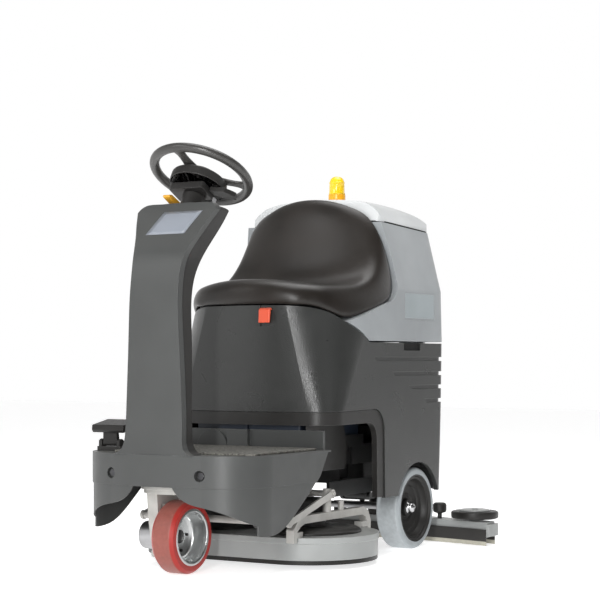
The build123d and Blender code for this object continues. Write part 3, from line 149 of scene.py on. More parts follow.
def mouldedPlastic(name, look):
    material, nodes, links = emptyMaterial(name)

    place = nodes.new("ShaderNodeTexCoord")
    place.label = "place on the piece"

    drift = nodes.new("ShaderNodeTexNoise")
    drift.label = "slow drift of the tone"
    drift.inputs["Scale"].default_value = 4.5
    drift.inputs["Detail"].default_value = 5
    tone = nodes.new("ShaderNodeValToRGB")
    tone.label = "darker and lighter resin"
    tone.color_ramp.elements[0].position = 0.3
    tone.color_ramp.elements[0].color = (*[0.88 * part for part in look["base"]], 1)
    tone.color_ramp.elements[1].position = 0.7
    tone.color_ramp.elements[1].color = (*[min(1, 1.1 * part) for part in look["base"]], 1)

    # Paler edges: rubbed wear on most mouldings; on the black arch band the pale edge colour is painted
    # highlight
    soft = nodes.new("ShaderNodeBevel")
    soft.label = "moulded edge radius"
    soft.samples = 3
    soft.inputs["Radius"].default_value = look.get("edgeRadius", 0.0016)
    flat = nodes.new("ShaderNodeNewGeometry")
    flat.label = "true face direction"
    alike = nodes.new("ShaderNodeVectorMath")
    alike.label = "how far the edge turns"
    alike.operation = "DOT_PRODUCT"
    edge = nodes.new("ShaderNodeMapRange")
    edge.label = "edge mask for wear and painted highlight"
    edge.inputs["From Min"].default_value = 0.975
    edge.inputs["From Max"].default_value = 0.86
    edge.inputs["To Max"].default_value = look.get("wear", 1.0)
    edgeBreakup = nodes.new("ShaderNodeTexNoise")
    edgeBreakup.label = "broken up edge wear and highlight"
    edgeBreakup.inputs["Scale"].default_value = 55
    edgeBreakup.inputs["Detail"].default_value = 6
    edgeWearAndHighlight = nodes.new("ShaderNodeMath")
    edgeWearAndHighlight.label = "edge wear and painted highlight only"
    edgeWearAndHighlight.operation = "MULTIPLY"
    paleEdgeWearAndHighlight = nodes.new("ShaderNodeMix")
    paleEdgeWearAndHighlight.label = "paler edge, wear and painted highlight"
    paleEdgeWearAndHighlight.data_type = "RGBA"
    paleEdgeWearAndHighlight.inputs[7].default_value = (*look["edge"], 1)

    upward = nodes.new("ShaderNodeSeparateXYZ")
    upward.label = "which way it faces"
    resting = nodes.new("ShaderNodeMapRange")
    resting.label = "dust on upward faces"
    resting.inputs["From Min"].default_value = 0.5
    resting.inputs["To Max"].default_value = look.get("dust", 0.12)
    dusty = nodes.new("ShaderNodeMix")
    dusty.label = "thin film of dust"
    dusty.data_type = "RGBA"
    dusty.inputs[7].default_value = (0.5, 0.49, 0.46, 1)

    smear = nodes.new("ShaderNodeTexNoise")
    smear.label = "wiped and handled patches"
    smear.inputs["Scale"].default_value = 11
    smear.inputs["Detail"].default_value = 7
    smear.inputs["Distortion"].default_value = 0.8
    gloss = nodes.new("ShaderNodeMapRange")
    gloss.label = "roughness range"
    gloss.inputs["From Min"].default_value = 0.3
    gloss.inputs["From Max"].default_value = 0.7
    gloss.inputs["To Min"].default_value = look["rough"][0]
    gloss.inputs["To Max"].default_value = look["rough"][1]

    grain = nodes.new("ShaderNodeTexVoronoi")
    grain.label = "grain of the mould"
    grain.inputs["Scale"].default_value = look.get("grainScale", 420)
    relief = nodes.new("ShaderNodeBump")
    relief.label = "grain relief"
    relief.inputs["Strength"].default_value = look.get("grain", 0.25)
    relief.inputs["Distance"].default_value = 0.0006

    shader = nodes.new("ShaderNodeBsdfPrincipled")
    shader.label = "moulded plastic"
    shader.inputs["Specular IOR Level"].default_value = look.get("shine", 0.5)
    shader.inputs["Coat Weight"].default_value = look.get("coat", 0.0)
    shader.inputs["Coat Roughness"].default_value = 0.25
    result = nodes.new("ShaderNodeOutputMaterial")
    result.label = "surface"

    links.new(place.outputs["Object"], drift.inputs["Vector"])
    links.new(drift.outputs["Fac"], tone.inputs["Fac"])
    links.new(soft.outputs["Normal"], alike.inputs[0])
    links.new(flat.outputs["Normal"], alike.inputs[1])
    links.new(alike.outputs["Value"], edge.inputs["Value"])
    links.new(place.outputs["Object"], edgeBreakup.inputs["Vector"])
    links.new(edge.outputs["Result"], edgeWearAndHighlight.inputs[0])
    links.new(edgeBreakup.outputs["Fac"], edgeWearAndHighlight.inputs[1])
    links.new(edgeWearAndHighlight.outputs["Value"], paleEdgeWearAndHighlight.inputs[0])
    links.new(tone.outputs["Color"], paleEdgeWearAndHighlight.inputs[6])
    links.new(flat.outputs["Normal"], upward.inputs["Vector"])
    links.new(upward.outputs["Z"], resting.inputs["Value"])
    links.new(resting.outputs["Result"], dusty.inputs[0])
    links.new(paleEdgeWearAndHighlight.outputs[2], dusty.inputs[6])
    links.new(dusty.outputs[2], shader.inputs["Base Color"])
    links.new(place.outputs["Object"], smear.inputs["Vector"])
    links.new(smear.outputs["Fac"], gloss.inputs["Value"])
    links.new(gloss.outputs["Result"], shader.inputs["Roughness"])
    links.new(place.outputs["Object"], grain.inputs["Vector"])
    links.new(grain.outputs["Distance"], relief.inputs["Height"])
    links.new(soft.outputs["Normal"], relief.inputs["Normal"])
    links.new(relief.outputs["Normal"], shader.inputs["Normal"])
    links.new(shader.outputs["BSDF"], result.inputs["Surface"])

    groups = {"tone": [drift, tone], "edges": [soft, flat, alike, edge, edgeBreakup, edgeWearAndHighlight, paleEdgeWearAndHighlight],
              "dust": [upward, resting, dusty], "gloss": [smear, gloss], "relief": [grain, relief],
              "surface": [place, shader, result]}
    layInFrames(nodes, groups)
    return material


def metalSkin(name, look):
    material, nodes, links = emptyMaterial(name)

    place = nodes.new("ShaderNodeTexCoord")
    place.label = "place on the piece"
    along = nodes.new("ShaderNodeMapping")
    along.label = "centred and drawn out"
    along.inputs["Location"].default_value = look.get("centre", (0, 0, 0))
    along.inputs["Scale"].default_value = look.get("stretch", (1, 1, 1))

    drift = nodes.new("ShaderNodeTexNoise")
    drift.label = "stain and drift"
    drift.inputs["Scale"].default_value = 14
    drift.inputs["Detail"].default_value = 6
    tone = nodes.new("ShaderNodeValToRGB")
    tone.label = "darker and brighter metal"
    tone.color_ramp.elements[0].position = 0.3
    tone.color_ramp.elements[0].color = (*[0.72 * part for part in look["base"]], 1)
    tone.color_ramp.elements[1].position = 0.65
    tone.color_ramp.elements[1].color = (*look["base"], 1)

    soft = nodes.new("ShaderNodeBevel")
    soft.label = "broken edge"
    soft.samples = 3
    soft.inputs["Radius"].default_value = 0.0012
    flat = nodes.new("ShaderNodeNewGeometry")
    flat.label = "true face direction"
    alike = nodes.new("ShaderNodeVectorMath")
    alike.label = "how far the edge turns"
    alike.operation = "DOT_PRODUCT"
    edge = nodes.new("ShaderNodeMapRange")
    edge.label = "polished edge"
    edge.inputs["From Min"].default_value = 0.995
    edge.inputs["From Max"].default_value = 0.88
    edge.inputs["To Max"].default_value = 0.6
    bright = nodes.new("ShaderNodeMix")
    bright.label = "bright edge"
    bright.data_type = "RGBA"
    bright.inputs[7].default_value = (*look["edge"], 1)

    cut = nodes.new("ShaderNodeTexNoise")
    cut.label = "tool marks or cast skin"
    cut.inputs["Scale"].default_value = look.get("markScale", 500)
    cut.inputs["Detail"].default_value = 3
    gloss = nodes.new("ShaderNodeMapRange")
    gloss.label = "roughness range"
    gloss.inputs["To Min"].default_value = look["rough"][0]
    gloss.inputs["To Max"].default_value = look["rough"][1]
    relief = nodes.new("ShaderNodeBump")
    relief.label = "mark relief"
    relief.inputs["Strength"].default_value = look.get("relief", 0.3)
    relief.inputs["Distance"].default_value = 0.0005

    shader = nodes.new("ShaderNodeBsdfPrincipled")
    shader.label = "metal"
    shader.inputs["Metallic"].default_value = look.get("metallic", 1.0)
    result = nodes.new("ShaderNodeOutputMaterial")
    result.label = "surface"

    links.new(place.outputs["Object"], along.inputs["Vector"])
    links.new(place.outputs["Object"], drift.inputs["Vector"])
    links.new(drift.outputs["Fac"], tone.inputs["Fac"])
    links.new(soft.outputs["Normal"], alike.inputs[0])
    links.new(flat.outputs["Normal"], alike.inputs[1])
    links.new(alike.outputs["Value"], edge.inputs["Value"])
    links.new(edge.outputs["Result"], bright.inputs[0])
    links.new(tone.outputs["Color"], bright.inputs[6])
    links.new(bright.outputs[2], shader.inputs["Base Color"])
    if look.get("turned"):
        reach = nodes.new("ShaderNodeVectorMath")
        reach.label = "distance from the axle"
        reach.operation = "LENGTH"
        cut.noise_dimensions = "1D"
        links.new(along.outputs["Vector"], reach.inputs[0])
        links.new(reach.outputs["Value"], cut.inputs["W"])
    else:
        links.new(along.outputs["Vector"], cut.inputs["Vector"])
    links.new(cut.outputs["Fac"], gloss.inputs["Value"])
    links.new(gloss.outputs["Result"], shader.inputs["Roughness"])
    links.new(cut.outputs["Fac"], relief.inputs["Height"])
    links.new(soft.outputs["Normal"], relief.inputs["Normal"])
    links.new(relief.outputs["Normal"], shader.inputs["Normal"])
    links.new(shader.outputs["BSDF"], result.inputs["Surface"])

    groups = {"tone": [drift, tone], "edges": [soft, flat, alike, edge, bright],
              "marks": [along, cut, gloss, relief], "surface": [place, shader, result]}
    layInFrames(nodes, groups)
    return material


# Rubber whose tread, beyond a radius from its axle, is worn to another colour
def rubberSkin(name, look):
    material, nodes, links = emptyMaterial(name)

    place = nodes.new("ShaderNodeTexCoord")
    place.label = "place on the piece"
    centred = nodes.new("ShaderNodeMapping")
    centred.label = "centred on the axle"
    centred.inputs["Location"].default_value = look.get("centre", (0, 0, 0))
    centred.inputs["Scale"].default_value = look.get("across", (0, 1, 1))
    reach = nodes.new("ShaderNodeVectorMath")
    reach.label = "distance from the axle"
    reach.operation = "LENGTH"
    tread = nodes.new("ShaderNodeMapRange")
    tread.label = "where the tread begins"
    tread.inputs["From Min"].default_value = look.get("treadRadius", 9) - 0.0012
    tread.inputs["From Max"].default_value = look.get("treadRadius", 9)

    drift = nodes.new("ShaderNodeTexNoise")
    drift.label = "uneven ageing"
    drift.inputs["Scale"].default_value = 16
    drift.inputs["Detail"].default_value = 6
    tone = nodes.new("ShaderNodeValToRGB")
    tone.label = "darker and lighter rubber"
    tone.color_ramp.elements[0].position = 0.3
    tone.color_ramp.elements[0].color = (*[0.82 * part for part in look["base"]], 1)
    tone.color_ramp.elements[1].position = 0.7
    tone.color_ramp.elements[1].color = (*look["base"], 1)
    scratch = nodes.new("ShaderNodeTexNoise")
    scratch.label = "scuffs of the floor"
    scratch.inputs["Scale"].default_value = 90
    scratch.inputs["Detail"].default_value = 8
    scuffed = nodes.new("ShaderNodeValToRGB")
    scuffed.label = "worn tread colours"
    scuffed.color_ramp.elements[0].position = 0.32
    scuffed.color_ramp.elements[0].color = (*[0.85 * part for part in look.get("tread", look["base"])], 1)
    scuffed.color_ramp.elements[1].position = 0.66
    scuffed.color_ramp.elements[1].color = (*look.get("tread", look["base"]), 1)
    both = nodes.new("ShaderNodeMix")
    both.label = "side wall or tread"
    both.data_type = "RGBA"

    gloss = nodes.new("ShaderNodeMapRange")
    gloss.label = "roughness range"
    gloss.inputs["To Min"].default_value = look["rough"][0]
    gloss.inputs["To Max"].default_value = look["rough"][1]
    grain = nodes.new("ShaderNodeTexNoise")
    grain.label = "fine skin"
    grain.inputs["Scale"].default_value = look.get("grainScale", 700)
    grain.inputs["Detail"].default_value = 3
    relief = nodes.new("ShaderNodeBump")
    relief.label = "skin relief"
    relief.inputs["Strength"].default_value = look.get("grain", 0.3)
    relief.inputs["Distance"].default_value = 0.0006

    shader = nodes.new("ShaderNodeBsdfPrincipled")
    shader.label = "rubber"
    shader.inputs["Specular IOR Level"].default_value = look.get("shine", 0.4)
    shader.inputs["Subsurface Weight"].default_value = look.get("glow", 0.0)
    shader.inputs["Subsurface Scale"].default_value = 0.004
    shader.inputs["Sheen Weight"].default_value = 0.03
    result = nodes.new("ShaderNodeOutputMaterial")
    result.label = "surface"

    links.new(place.outputs["Object"], centred.inputs["Vector"])
    links.new(centred.outputs["Vector"], reach.inputs[0])
    links.new(reach.outputs["Value"], tread.inputs["Value"])
    links.new(place.outputs["Object"], drift.inputs["Vector"])
    links.new(drift.outputs["Fac"], tone.inputs["Fac"])
    links.new(place.outputs["Object"], scratch.inputs["Vector"])
    links.new(scratch.outputs["Fac"], scuffed.inputs["Fac"])
    links.new(tread.outputs["Result"], both.inputs[0])
    links.new(tone.outputs["Color"], both.inputs[6])
    links.new(scuffed.outputs["Color"], both.inputs[7])
    links.new(both.outputs[2], shader.inputs["Base Color"])
    links.new(scratch.outputs["Fac"], gloss.inputs["Value"])
    links.new(gloss.outputs["Result"], shader.inputs["Roughness"])
    links.new(place.outputs["Object"], grain.inputs["Vector"])
    links.new(grain.outputs["Fac"], relief.inputs["Height"])
    links.new(relief.outputs["Normal"], shader.inputs["Normal"])
    links.new(shader.outputs["BSDF"], result.inputs["Surface"])

    groups = {"tread": [centred, reach, tread], "tone": [drift, tone, scratch, scuffed, both],
              "relief": [gloss, grain, relief], "surface": [place, shader, result]}
    layInFrames(nodes, groups)
    return material


def seatSkin(name, look):
    material, nodes, links = emptyMaterial(name)

    place = nodes.new("ShaderNodeTexCoord")
    place.label = "place on the seat"
    drift = nodes.new("ShaderNodeTexNoise")
    drift.label = "sat-on patches"
    drift.inputs["Scale"].default_value = 6
    drift.inputs["Detail"].default_value = 6
    tone = nodes.new("ShaderNodeValToRGB")
    tone.label = "dark and warm brown"
    tone.color_ramp.elements[0].position = 0.3
    tone.color_ramp.elements[0].color = (*look["dark"], 1)
    tone.color_ramp.elements[1].position = 0.72
    tone.color_ramp.elements[1].color = (*look["light"], 1)
    pebble = nodes.new("ShaderNodeTexVoronoi")
    pebble.label = "leather pebbles"
    pebble.feature = "SMOOTH_F1"
    pebble.inputs["Scale"].default_value = look["pebbleScale"]
    pores = nodes.new("ShaderNodeTexNoise")
    pores.label = "pores between pebbles"
    pores.inputs["Scale"].default_value = 900
    pores.inputs["Detail"].default_value = 3
    skin = nodes.new("ShaderNodeMix")
    skin.label = "pebbles and pores"
    skin.inputs[0].default_value = 0.35
    creases = nodes.new("ShaderNodeTexNoise")
    creases.label = "shallow creases"
    creases.inputs["Scale"].default_value = 22
    creases.inputs["Distortion"].default_value = 1.4
    fold = nodes.new("ShaderNodeBump")
    fold.label = "crease relief"
    fold.inputs["Strength"].default_value = 0.12
    fold.inputs["Distance"].default_value = 0.003
    relief = nodes.new("ShaderNodeBump")
    relief.label = "pebble relief"
    relief.inputs["Strength"].default_value = 0.35
    relief.inputs["Distance"].default_value = 0.0007
    gloss = nodes.new("ShaderNodeMapRange")
    gloss.label = "polished where used"
    gloss.inputs["From Min"].default_value = 0.3
    gloss.inputs["From Max"].default_value = 0.7
    gloss.inputs["To Min"].default_value = look["rough"][0]
    gloss.inputs["To Max"].default_value = look["rough"][1]
    shader = nodes.new("ShaderNodeBsdfPrincipled")
    shader.label = "leather-grained foam skin"
    shader.inputs["Specular IOR Level"].default_value = look["shine"]
    shader.inputs["Sheen Weight"].default_value = 0.04
    shader.inputs["Sheen Roughness"].default_value = 0.5
    result = nodes.new("ShaderNodeOutputMaterial")
    result.label = "surface"

    links.new(place.outputs["Object"], drift.inputs["Vector"])
    links.new(drift.outputs["Fac"], tone.inputs["Fac"])
    links.new(tone.outputs["Color"], shader.inputs["Base Color"])
    links.new(drift.outputs["Fac"], gloss.inputs["Value"])
    links.new(gloss.outputs["Result"], shader.inputs["Roughness"])
    links.new(place.outputs["Object"], pebble.inputs["Vector"])
    links.new(place.outputs["Object"], pores.inputs["Vector"])
    links.new(pebble.outputs["Distance"], skin.inputs[2])
    links.new(pores.outputs["Fac"], skin.inputs[3])
    links.new(place.outputs["Object"], creases.inputs["Vector"])
    links.new(creases.outputs["Fac"], fold.inputs["Height"])
    links.new(skin.outputs[0], relief.inputs["Height"])
    links.new(fold.outputs["Normal"], relief.inputs["Normal"])
    links.new(relief.outputs["Normal"], shader.inputs["Normal"])
    links.new(shader.outputs["BSDF"], result.inputs["Surface"])

    groups = {"tone": [drift, tone, gloss], "relief": [pebble, pores, skin, creases, fold, relief],
              "surface": [place, shader, result]}
    layInFrames(nodes, groups)
    return material


def speckledMat(name, look):
    material, nodes, links = emptyMaterial(name)

    place = nodes.new("ShaderNodeTexCoord")
    place.label = "place on the mat"
    crumbs = nodes.new("ShaderNodeTexVoronoi")
    crumbs.label = "rubber crumbs"
    crumbs.inputs["Scale"].default_value = look["crumbScale"]
    shades = nodes.new("ShaderNodeValToRGB")
    shades.label = "crumb colours"
    shades.color_ramp.interpolation = "CONSTANT"
    shades.color_ramp.elements[0].color = (*look["dark"], 1)
    shades.color_ramp.elements[1].position = 0.75
    shades.color_ramp.elements[1].color = (*look["light"], 1)
    middle = shades.color_ramp.elements.new(0.3)
    middle.color = (*look["middle"], 1)
    patches = nodes.new("ShaderNodeTexNoise")
    patches.label = "trodden patches"
    patches.inputs["Scale"].default_value = 12
    patches.inputs["Detail"].default_value = 6
    grime = nodes.new("ShaderNodeMix")
    grime.label = "grime"
    grime.data_type = "RGBA"
    grime.inputs[7].default_value = (0.12, 0.115, 0.10, 1)
    thin = nodes.new("ShaderNodeMapRange")
    thin.label = "how much grime"
    thin.inputs["From Min"].default_value = 0.45
    thin.inputs["From Max"].default_value = 0.8
    thin.inputs["To Max"].default_value = 0.6
    relief = nodes.new("ShaderNodeBump")
    relief.label = "crumb relief"
    relief.inputs["Strength"].default_value = 0.6
    relief.inputs["Distance"].default_value = 0.001
    shader = nodes.new("ShaderNodeBsdfPrincipled")
    shader.label = "crumb rubber"
    shader.inputs["Roughness"].default_value = 0.85
    result = nodes.new("ShaderNodeOutputMaterial")
    result.label = "surface"

    links.new(place.outputs["Object"], crumbs.inputs["Vector"])
    links.new(crumbs.outputs["Color"], shades.inputs["Fac"])
    links.new(place.outputs["Object"], patches.inputs["Vector"])
    links.new(patches.outputs["Fac"], thin.inputs["Value"])
    links.new(thin.outputs["Result"], grime.inputs[0])
    links.new(shades.outputs["Color"], grime.inputs[6])
    links.new(grime.outputs[2], shader.inputs["Base Color"])
    links.new(crumbs.outputs["Distance"], relief.inputs["Height"])
    links.new(relief.outputs["Normal"], shader.inputs["Normal"])
    links.new(shader.outputs["BSDF"], result.inputs["Surface"])

    groups = {"crumbs": [crumbs, shades, relief], "grime": [patches, thin, grime],
              "surface": [place, shader, result]}
    layInFrames(nodes, groups)
    return material


finishes = {
    "cover_grey": mouldedPlastic("coverGrey", {
        "base": (0.050, 0.052, 0.051), "edge": (0.18, 0.19, 0.19), "rough": (0.34, 0.48),
        "grain": 0.22}),
    "housing_grey": mouldedPlastic("housingGrey", {
        "base": (0.030, 0.031, 0.030), "edge": (0.11, 0.115, 0.11), "rough": (0.26, 0.36),
        "grain": 0.55, "grainScale": 330, "shine": 0.45}),
    "tank_silver": mouldedPlastic("tankSilver", {
        "base": (0.30, 0.318, 0.33), "edge": (0.62, 0.65, 0.68), "rough": (0.32, 0.44),
        "grain": 0.12}),
    "black_plastic": mouldedPlastic("blackPlastic", {
        "base": (0.024, 0.023, 0.022), "edge": (0.11, 0.105, 0.10), "rough": (0.34, 0.50),
        "grain": 0.35, "dust": 0.03, "shine": 0.3}),
    # Black arch band: its pale edge colour is painted highlight, thin light lines along the band's edges
    "band_black": mouldedPlastic("bandBlack", {
        "base": (0.019, 0.018, 0.017), "edge": (0.30, 0.295, 0.285), "rough": (0.32, 0.46),
        "grain": 0.25, "dust": 0.03, "shine": 0.35}),
    "deck_white": mouldedPlastic("deckWhite", {
        "base": (0.29, 0.30, 0.296), "edge": (0.80, 0.80, 0.79), "rough": (0.30, 0.45), "grain": 0.10,
        "dust": 0.2}),
    "battery_case": mouldedPlastic("batteryCase", {
        "base": (0.02, 0.028, 0.045), "edge": (0.1, 0.12, 0.15), "rough": (0.4, 0.6)}),
    "latch_red": mouldedPlastic("latchRed", {
        "base": (0.66, 0.085, 0.035), "edge": (0.9, 0.3, 0.2), "rough": (0.28, 0.4), "grain": 0.12,
        "coat": 0.2}),
    "lever_amber": mouldedPlastic("leverAmber", {
        "base": (0.68, 0.34, 0.03), "edge": (0.9, 0.6, 0.2), "rough": (0.3, 0.42), "grain": 0.12}),
    "beacon_yellow": mouldedPlastic("beaconYellow", {
        "base": (0.98, 0.60, 0.01), "edge": (1.0, 0.85, 0.3), "rough": (0.12, 0.22), "grain": 0.04,
        "coat": 0.6, "dust": 0.0}),
    "beacon_base": mouldedPlastic("beaconBase", {
        "base": (0.90, 0.42, 0.01), "edge": (0.98, 0.7, 0.2), "rough": (0.25, 0.35), "grain": 0.1}),
    "bristle": mouldedPlastic("bristle", {
        "base": (0.035, 0.04, 0.055), "edge": (0.1, 0.11, 0.13), "rough": (0.5, 0.7), "grain": 0.5}),
    "frame_black": metalSkin("frameBlack", {
        "base": (0.022, 0.022, 0.022), "edge": (0.1, 0.1, 0.1), "rough": (0.35, 0.55), "metallic": 0.0,
        "markScale": 260}),
    "cast_aluminium": metalSkin("castAluminium", {
        "base": (0.50, 0.49, 0.465), "edge": (0.8, 0.79, 0.77), "rough": (0.45, 0.7), "metallic": 0.25,
        "relief": 0.5, "markScale": 420}),
    "turned_aluminium": metalSkin("turnedAluminium", {
        "base": (0.60, 0.61, 0.61), "edge": (0.88, 0.88, 0.88), "rough": (0.2, 0.42), "turned": True,
        "centre": (0, 0.505, -0.1), "stretch": (0.2, 1, 1), "markScale": 900, "relief": 0.25}),
    "steel": metalSkin("zincSteel", {
        "base": (0.50, 0.50, 0.51), "edge": (0.85, 0.85, 0.85), "rough": (0.25, 0.45),
        "stretch": (0.15, 1, 1)}),
    "tyre_red": rubberSkin("tyreRed", {
        "base": (0.37, 0.024, 0.018), "tread": (0.27, 0.080, 0.063), "centre": (0, 0.505, -0.1),
        "treadRadius": 0.0992, "rough": (0.32, 0.5), "glow": 0.08}),
    "tyre_grey": rubberSkin("tyreGrey", {
        "base": (0.38, 0.412, 0.43), "tread": (0.42, 0.45, 0.465), "centre": (0, -0.361, -0.125),
        "treadRadius": 0.124, "rough": (0.45, 0.62)}),
    "black_rubber": rubberSkin("blackRubber", {
        "base": (0.016, 0.015, 0.014), "rough": (0.30, 0.46), "grain": 0.4, "shine": 0.3}),
    "blade_rubber": rubberSkin("bladeRubber", {
        "base": (0.030, 0.028, 0.026), "tread": (0.50, 0.48, 0.40), "centre": (0, 0, -0.062),
        "across": (0, 0, 1), "treadRadius": 0.048, "rough": (0.35, 0.5)}),
    "seat_leather": seatSkin("seatLeather", {
        "dark": (0.012, 0.0098, 0.008), "light": (0.023, 0.0185, 0.0155), "pebbleScale": 520,
        "rough": (0.30, 0.42), "shine": 0.35}),
    "mat_rubber": speckledMat("matRubber", {
        "dark": (0.038, 0.035, 0.031), "middle": (0.12, 0.117, 0.104), "light": (0.25, 0.243, 0.215),
        "crumbScale": 260}),
}
plateWhite = mouldedPlastic("plateWhite", {
    "base": (0.22, 0.24, 0.275), "edge": (0.5, 0.52, 0.55), "rough": (0.3, 0.4), "grain": 0.04})
plateGrey = mouldedPlastic("plateGrey", {
    "base": (0.33, 0.37, 0.385), "edge": (0.7, 0.72, 0.74), "rough": (0.28, 0.4), "grain": 0.05})
gripRubber = rubberSkin("gripRubber", {
    "base": (0.040, 0.038, 0.036), "rough": (0.26, 0.40), "grain": 0.35, "shine": 0.55})
# Near-black that stands in as painted shade in the hand pockets and in the gap under the lid
recessBlack = rubberSkin("recessBlack", {
    "base": (0.006, 0.006, 0.006), "rough": (0.6, 0.8), "shine": 0.15})
boltSteel = metalSkin("boltSteel", {
    "base": (0.10, 0.10, 0.105), "edge": (0.4, 0.4, 0.4), "rough": (0.35, 0.5), "markScale": 320})
# Lid: the tank's own silver plastic, made lighter as painted top light
lidSilver = mouldedPlastic("lidSilver", {
    "base": (0.60, 0.615, 0.62), "edge": (0.72, 0.74, 0.76), "rough": (0.34, 0.46), "grain": 0.12})
capSteel = metalSkin("capSteel", {
    "base": (0.62, 0.62, 0.63), "edge": (0.9, 0.9, 0.9), "rough": (0.15, 0.3)})
print("materials written")


# Making pieces
sides = (("Left", 1), ("Right", -1))


def newPiece(name, data, material):
    piece = bpy.data.objects.new(name, data)
    scene.collection.objects.link(piece)
    data.materials.clear()
    data.materials.append(material)
    return piece


def cageMesh(name, points, faces):
    mesh = bpy.data.meshes.new(name)
    mesh.from_pydata(points, [], faces)
    mesh.polygons.foreach_set("use_smooth", [True] * len(mesh.polygons))
    mesh.update()
    return mesh


def subdivide(piece, levels):
    stack = piece.modifiers.new("smooth", "SUBSURF")
    stack.levels = levels
    stack.render_levels = levels


def roundEdges(piece, width, segments, angle=32):
    bevel = piece.modifiers.new("edges", "BEVEL")
    bevel.width = width
    bevel.segments = segments
    bevel.limit_method = "ANGLE"
    bevel.angle_limit = radians(angle)
    bevel.harden_normals = True
    weighted = piece.modifiers.new("shading", "WEIGHTED_NORMAL")
    weighted.keep_sharp = True


def applyStack(piece):
    graph = bpy.context.evaluated_depsgraph_get()
    mesh = bpy.data.meshes.new_from_object(piece.evaluated_get(graph))
    piece.modifiers.clear()
    piece.data = mesh


weldDistance = 0.00003       # corners of a moulding closer than this are one, in metres
flatAngle = 0.2              # faces that turn less than this are one, in degrees


# A moulding made from its design shape, with welded faces and real rounded edges
def roundedCopy(node, width, segments=3):
    mesh = frame["nodes"][node].data.copy()
    cage = bmesh.new()
    cage.from_mesh(mesh)
    bmesh.ops.remove_doubles(cage, verts=cage.verts, dist=weldDistance)
    bmesh.ops.dissolve_limit(cage, angle_limit=radians(flatAngle), verts=cage.verts, edges=cage.edges)
    for face in cage.faces:
        face.smooth = True
    cage.to_mesh(mesh)
    cage.free()
    words = node.split("_")
    name = words[0] + "".join(word.capitalize() for word in words[1:])
    piece = newPiece(name, mesh, finishes[slotOf[node]])
    roundEdges(piece, width, segments)
    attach(piece, bodyOf[node])
    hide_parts(node)
    return piece


# Turned piece from a half profile at +X, listed from top to bottom, then laid in its place
def turnedPiece(name, profile, place, material, steps=96, bevel=0.0):
    mesh = bpy.data.meshes.new(name)
    points = [(radius, 0, height) for radius, height in profile]
    edges = [(index, index + 1) for index in range(len(points) - 1)]
    mesh.from_pydata(points, edges, [])
    piece = newPiece(name, mesh, material)
    screw = piece.modifiers.new("turn", "SCREW")
    screw.steps = steps
    screw.render_steps = steps
    screw.use_merge_vertices = True
    screw.merge_threshold = 0.00002
    screw.use_smooth_shade = True
    applyStack(piece)
    piece.data.transform(place)
    if bevel:
        roundEdges(piece, bevel, 3)
    return piece


def tubePiece(name, points, radius, material, closed=False):
    curve = bpy.data.curves.new(name, "CURVE")
    curve.dimensions = "3D"
    curve.bevel_depth = radius
    curve.bevel_resolution = 3
    curve.use_fill_caps = True
    line = curve.splines.new("NURBS")
    line.points.add(len(points) - 1)
    for target, point in zip(line.points, points):
        target.co = (*point, 1)
    line.order_u = 3
    line.use_endpoint_u = not closed
    line.use_cyclic_u = closed
    return newPiece(name, curve, material)


# Corner points of a rounded rectangle, anticlockwise from its +X side
def roundedOutline(half, corner, stepsPerQuarter):
    outline = []
    for quarter, (signX, signY) in enumerate(((1, 1), (-1, 1), (-1, -1), (1, -1))):
        for step in range(stepsPerQuarter + 1):
            turn = radians(90 * quarter + 90 / stepsPerQuarter * step)
            outline.append((signX * (half[0] - corner) + corner * cos(turn),
                            signY * (half[1] - corner) + corner * sin(turn)))
    return outline


# A thin moulded plate: rounded outline in its own plane, with thickness and soft edges
def platePiece(name, half, corner, thickness, place, material, bevel=0.0006):
    points = [(x, y, 0) for x, y in roundedOutline(half, corner, 6)]
    mesh = cageMesh(name, points, [tuple(range(len(points)))])
    piece = newPiece(name, mesh, material)
    wall = piece.modifiers.new("thickness", "SOLIDIFY")
    wall.thickness = thickness
    wall.offset = -1
    piece.data.transform(place)
    roundEdges(piece, bevel, 2)
    return piece


# Stage floor: pale, plain and lit from within, so that it runs into the wall without a line
floorLook = {"base": (0.80, 0.80, 0.80), "glow": 0.68, "rough": 0.65}
floorPale = bpy.data.materials.new("floorPale")
floorPale.use_nodes = True
floorShader = floorPale.node_tree.nodes["Principled BSDF"]
floorShader.label = "matt pale floor"
floorShader.inputs["Base Color"].default_value = (*floorLook["base"], 1)
floorShader.inputs["Roughness"].default_value = floorLook["rough"]
floorShader.inputs["Specular IOR Level"].default_value = 0.2
floorShader.inputs["Emission Color"].default_value = (1, 1, 1, 1)
floorShader.inputs["Emission Strength"].default_value = floorLook["glow"]
floorHalf = studio["floorHalf"]
floor = newPiece("floor", cageMesh("floor", [(-floorHalf, -floorHalf, 0), (floorHalf, -floorHalf, 0),
                                             (floorHalf, floorHalf, 0), (-floorHalf, floorHalf, 0)],
                                   [(0, 1, 2, 3)]), floorPale)

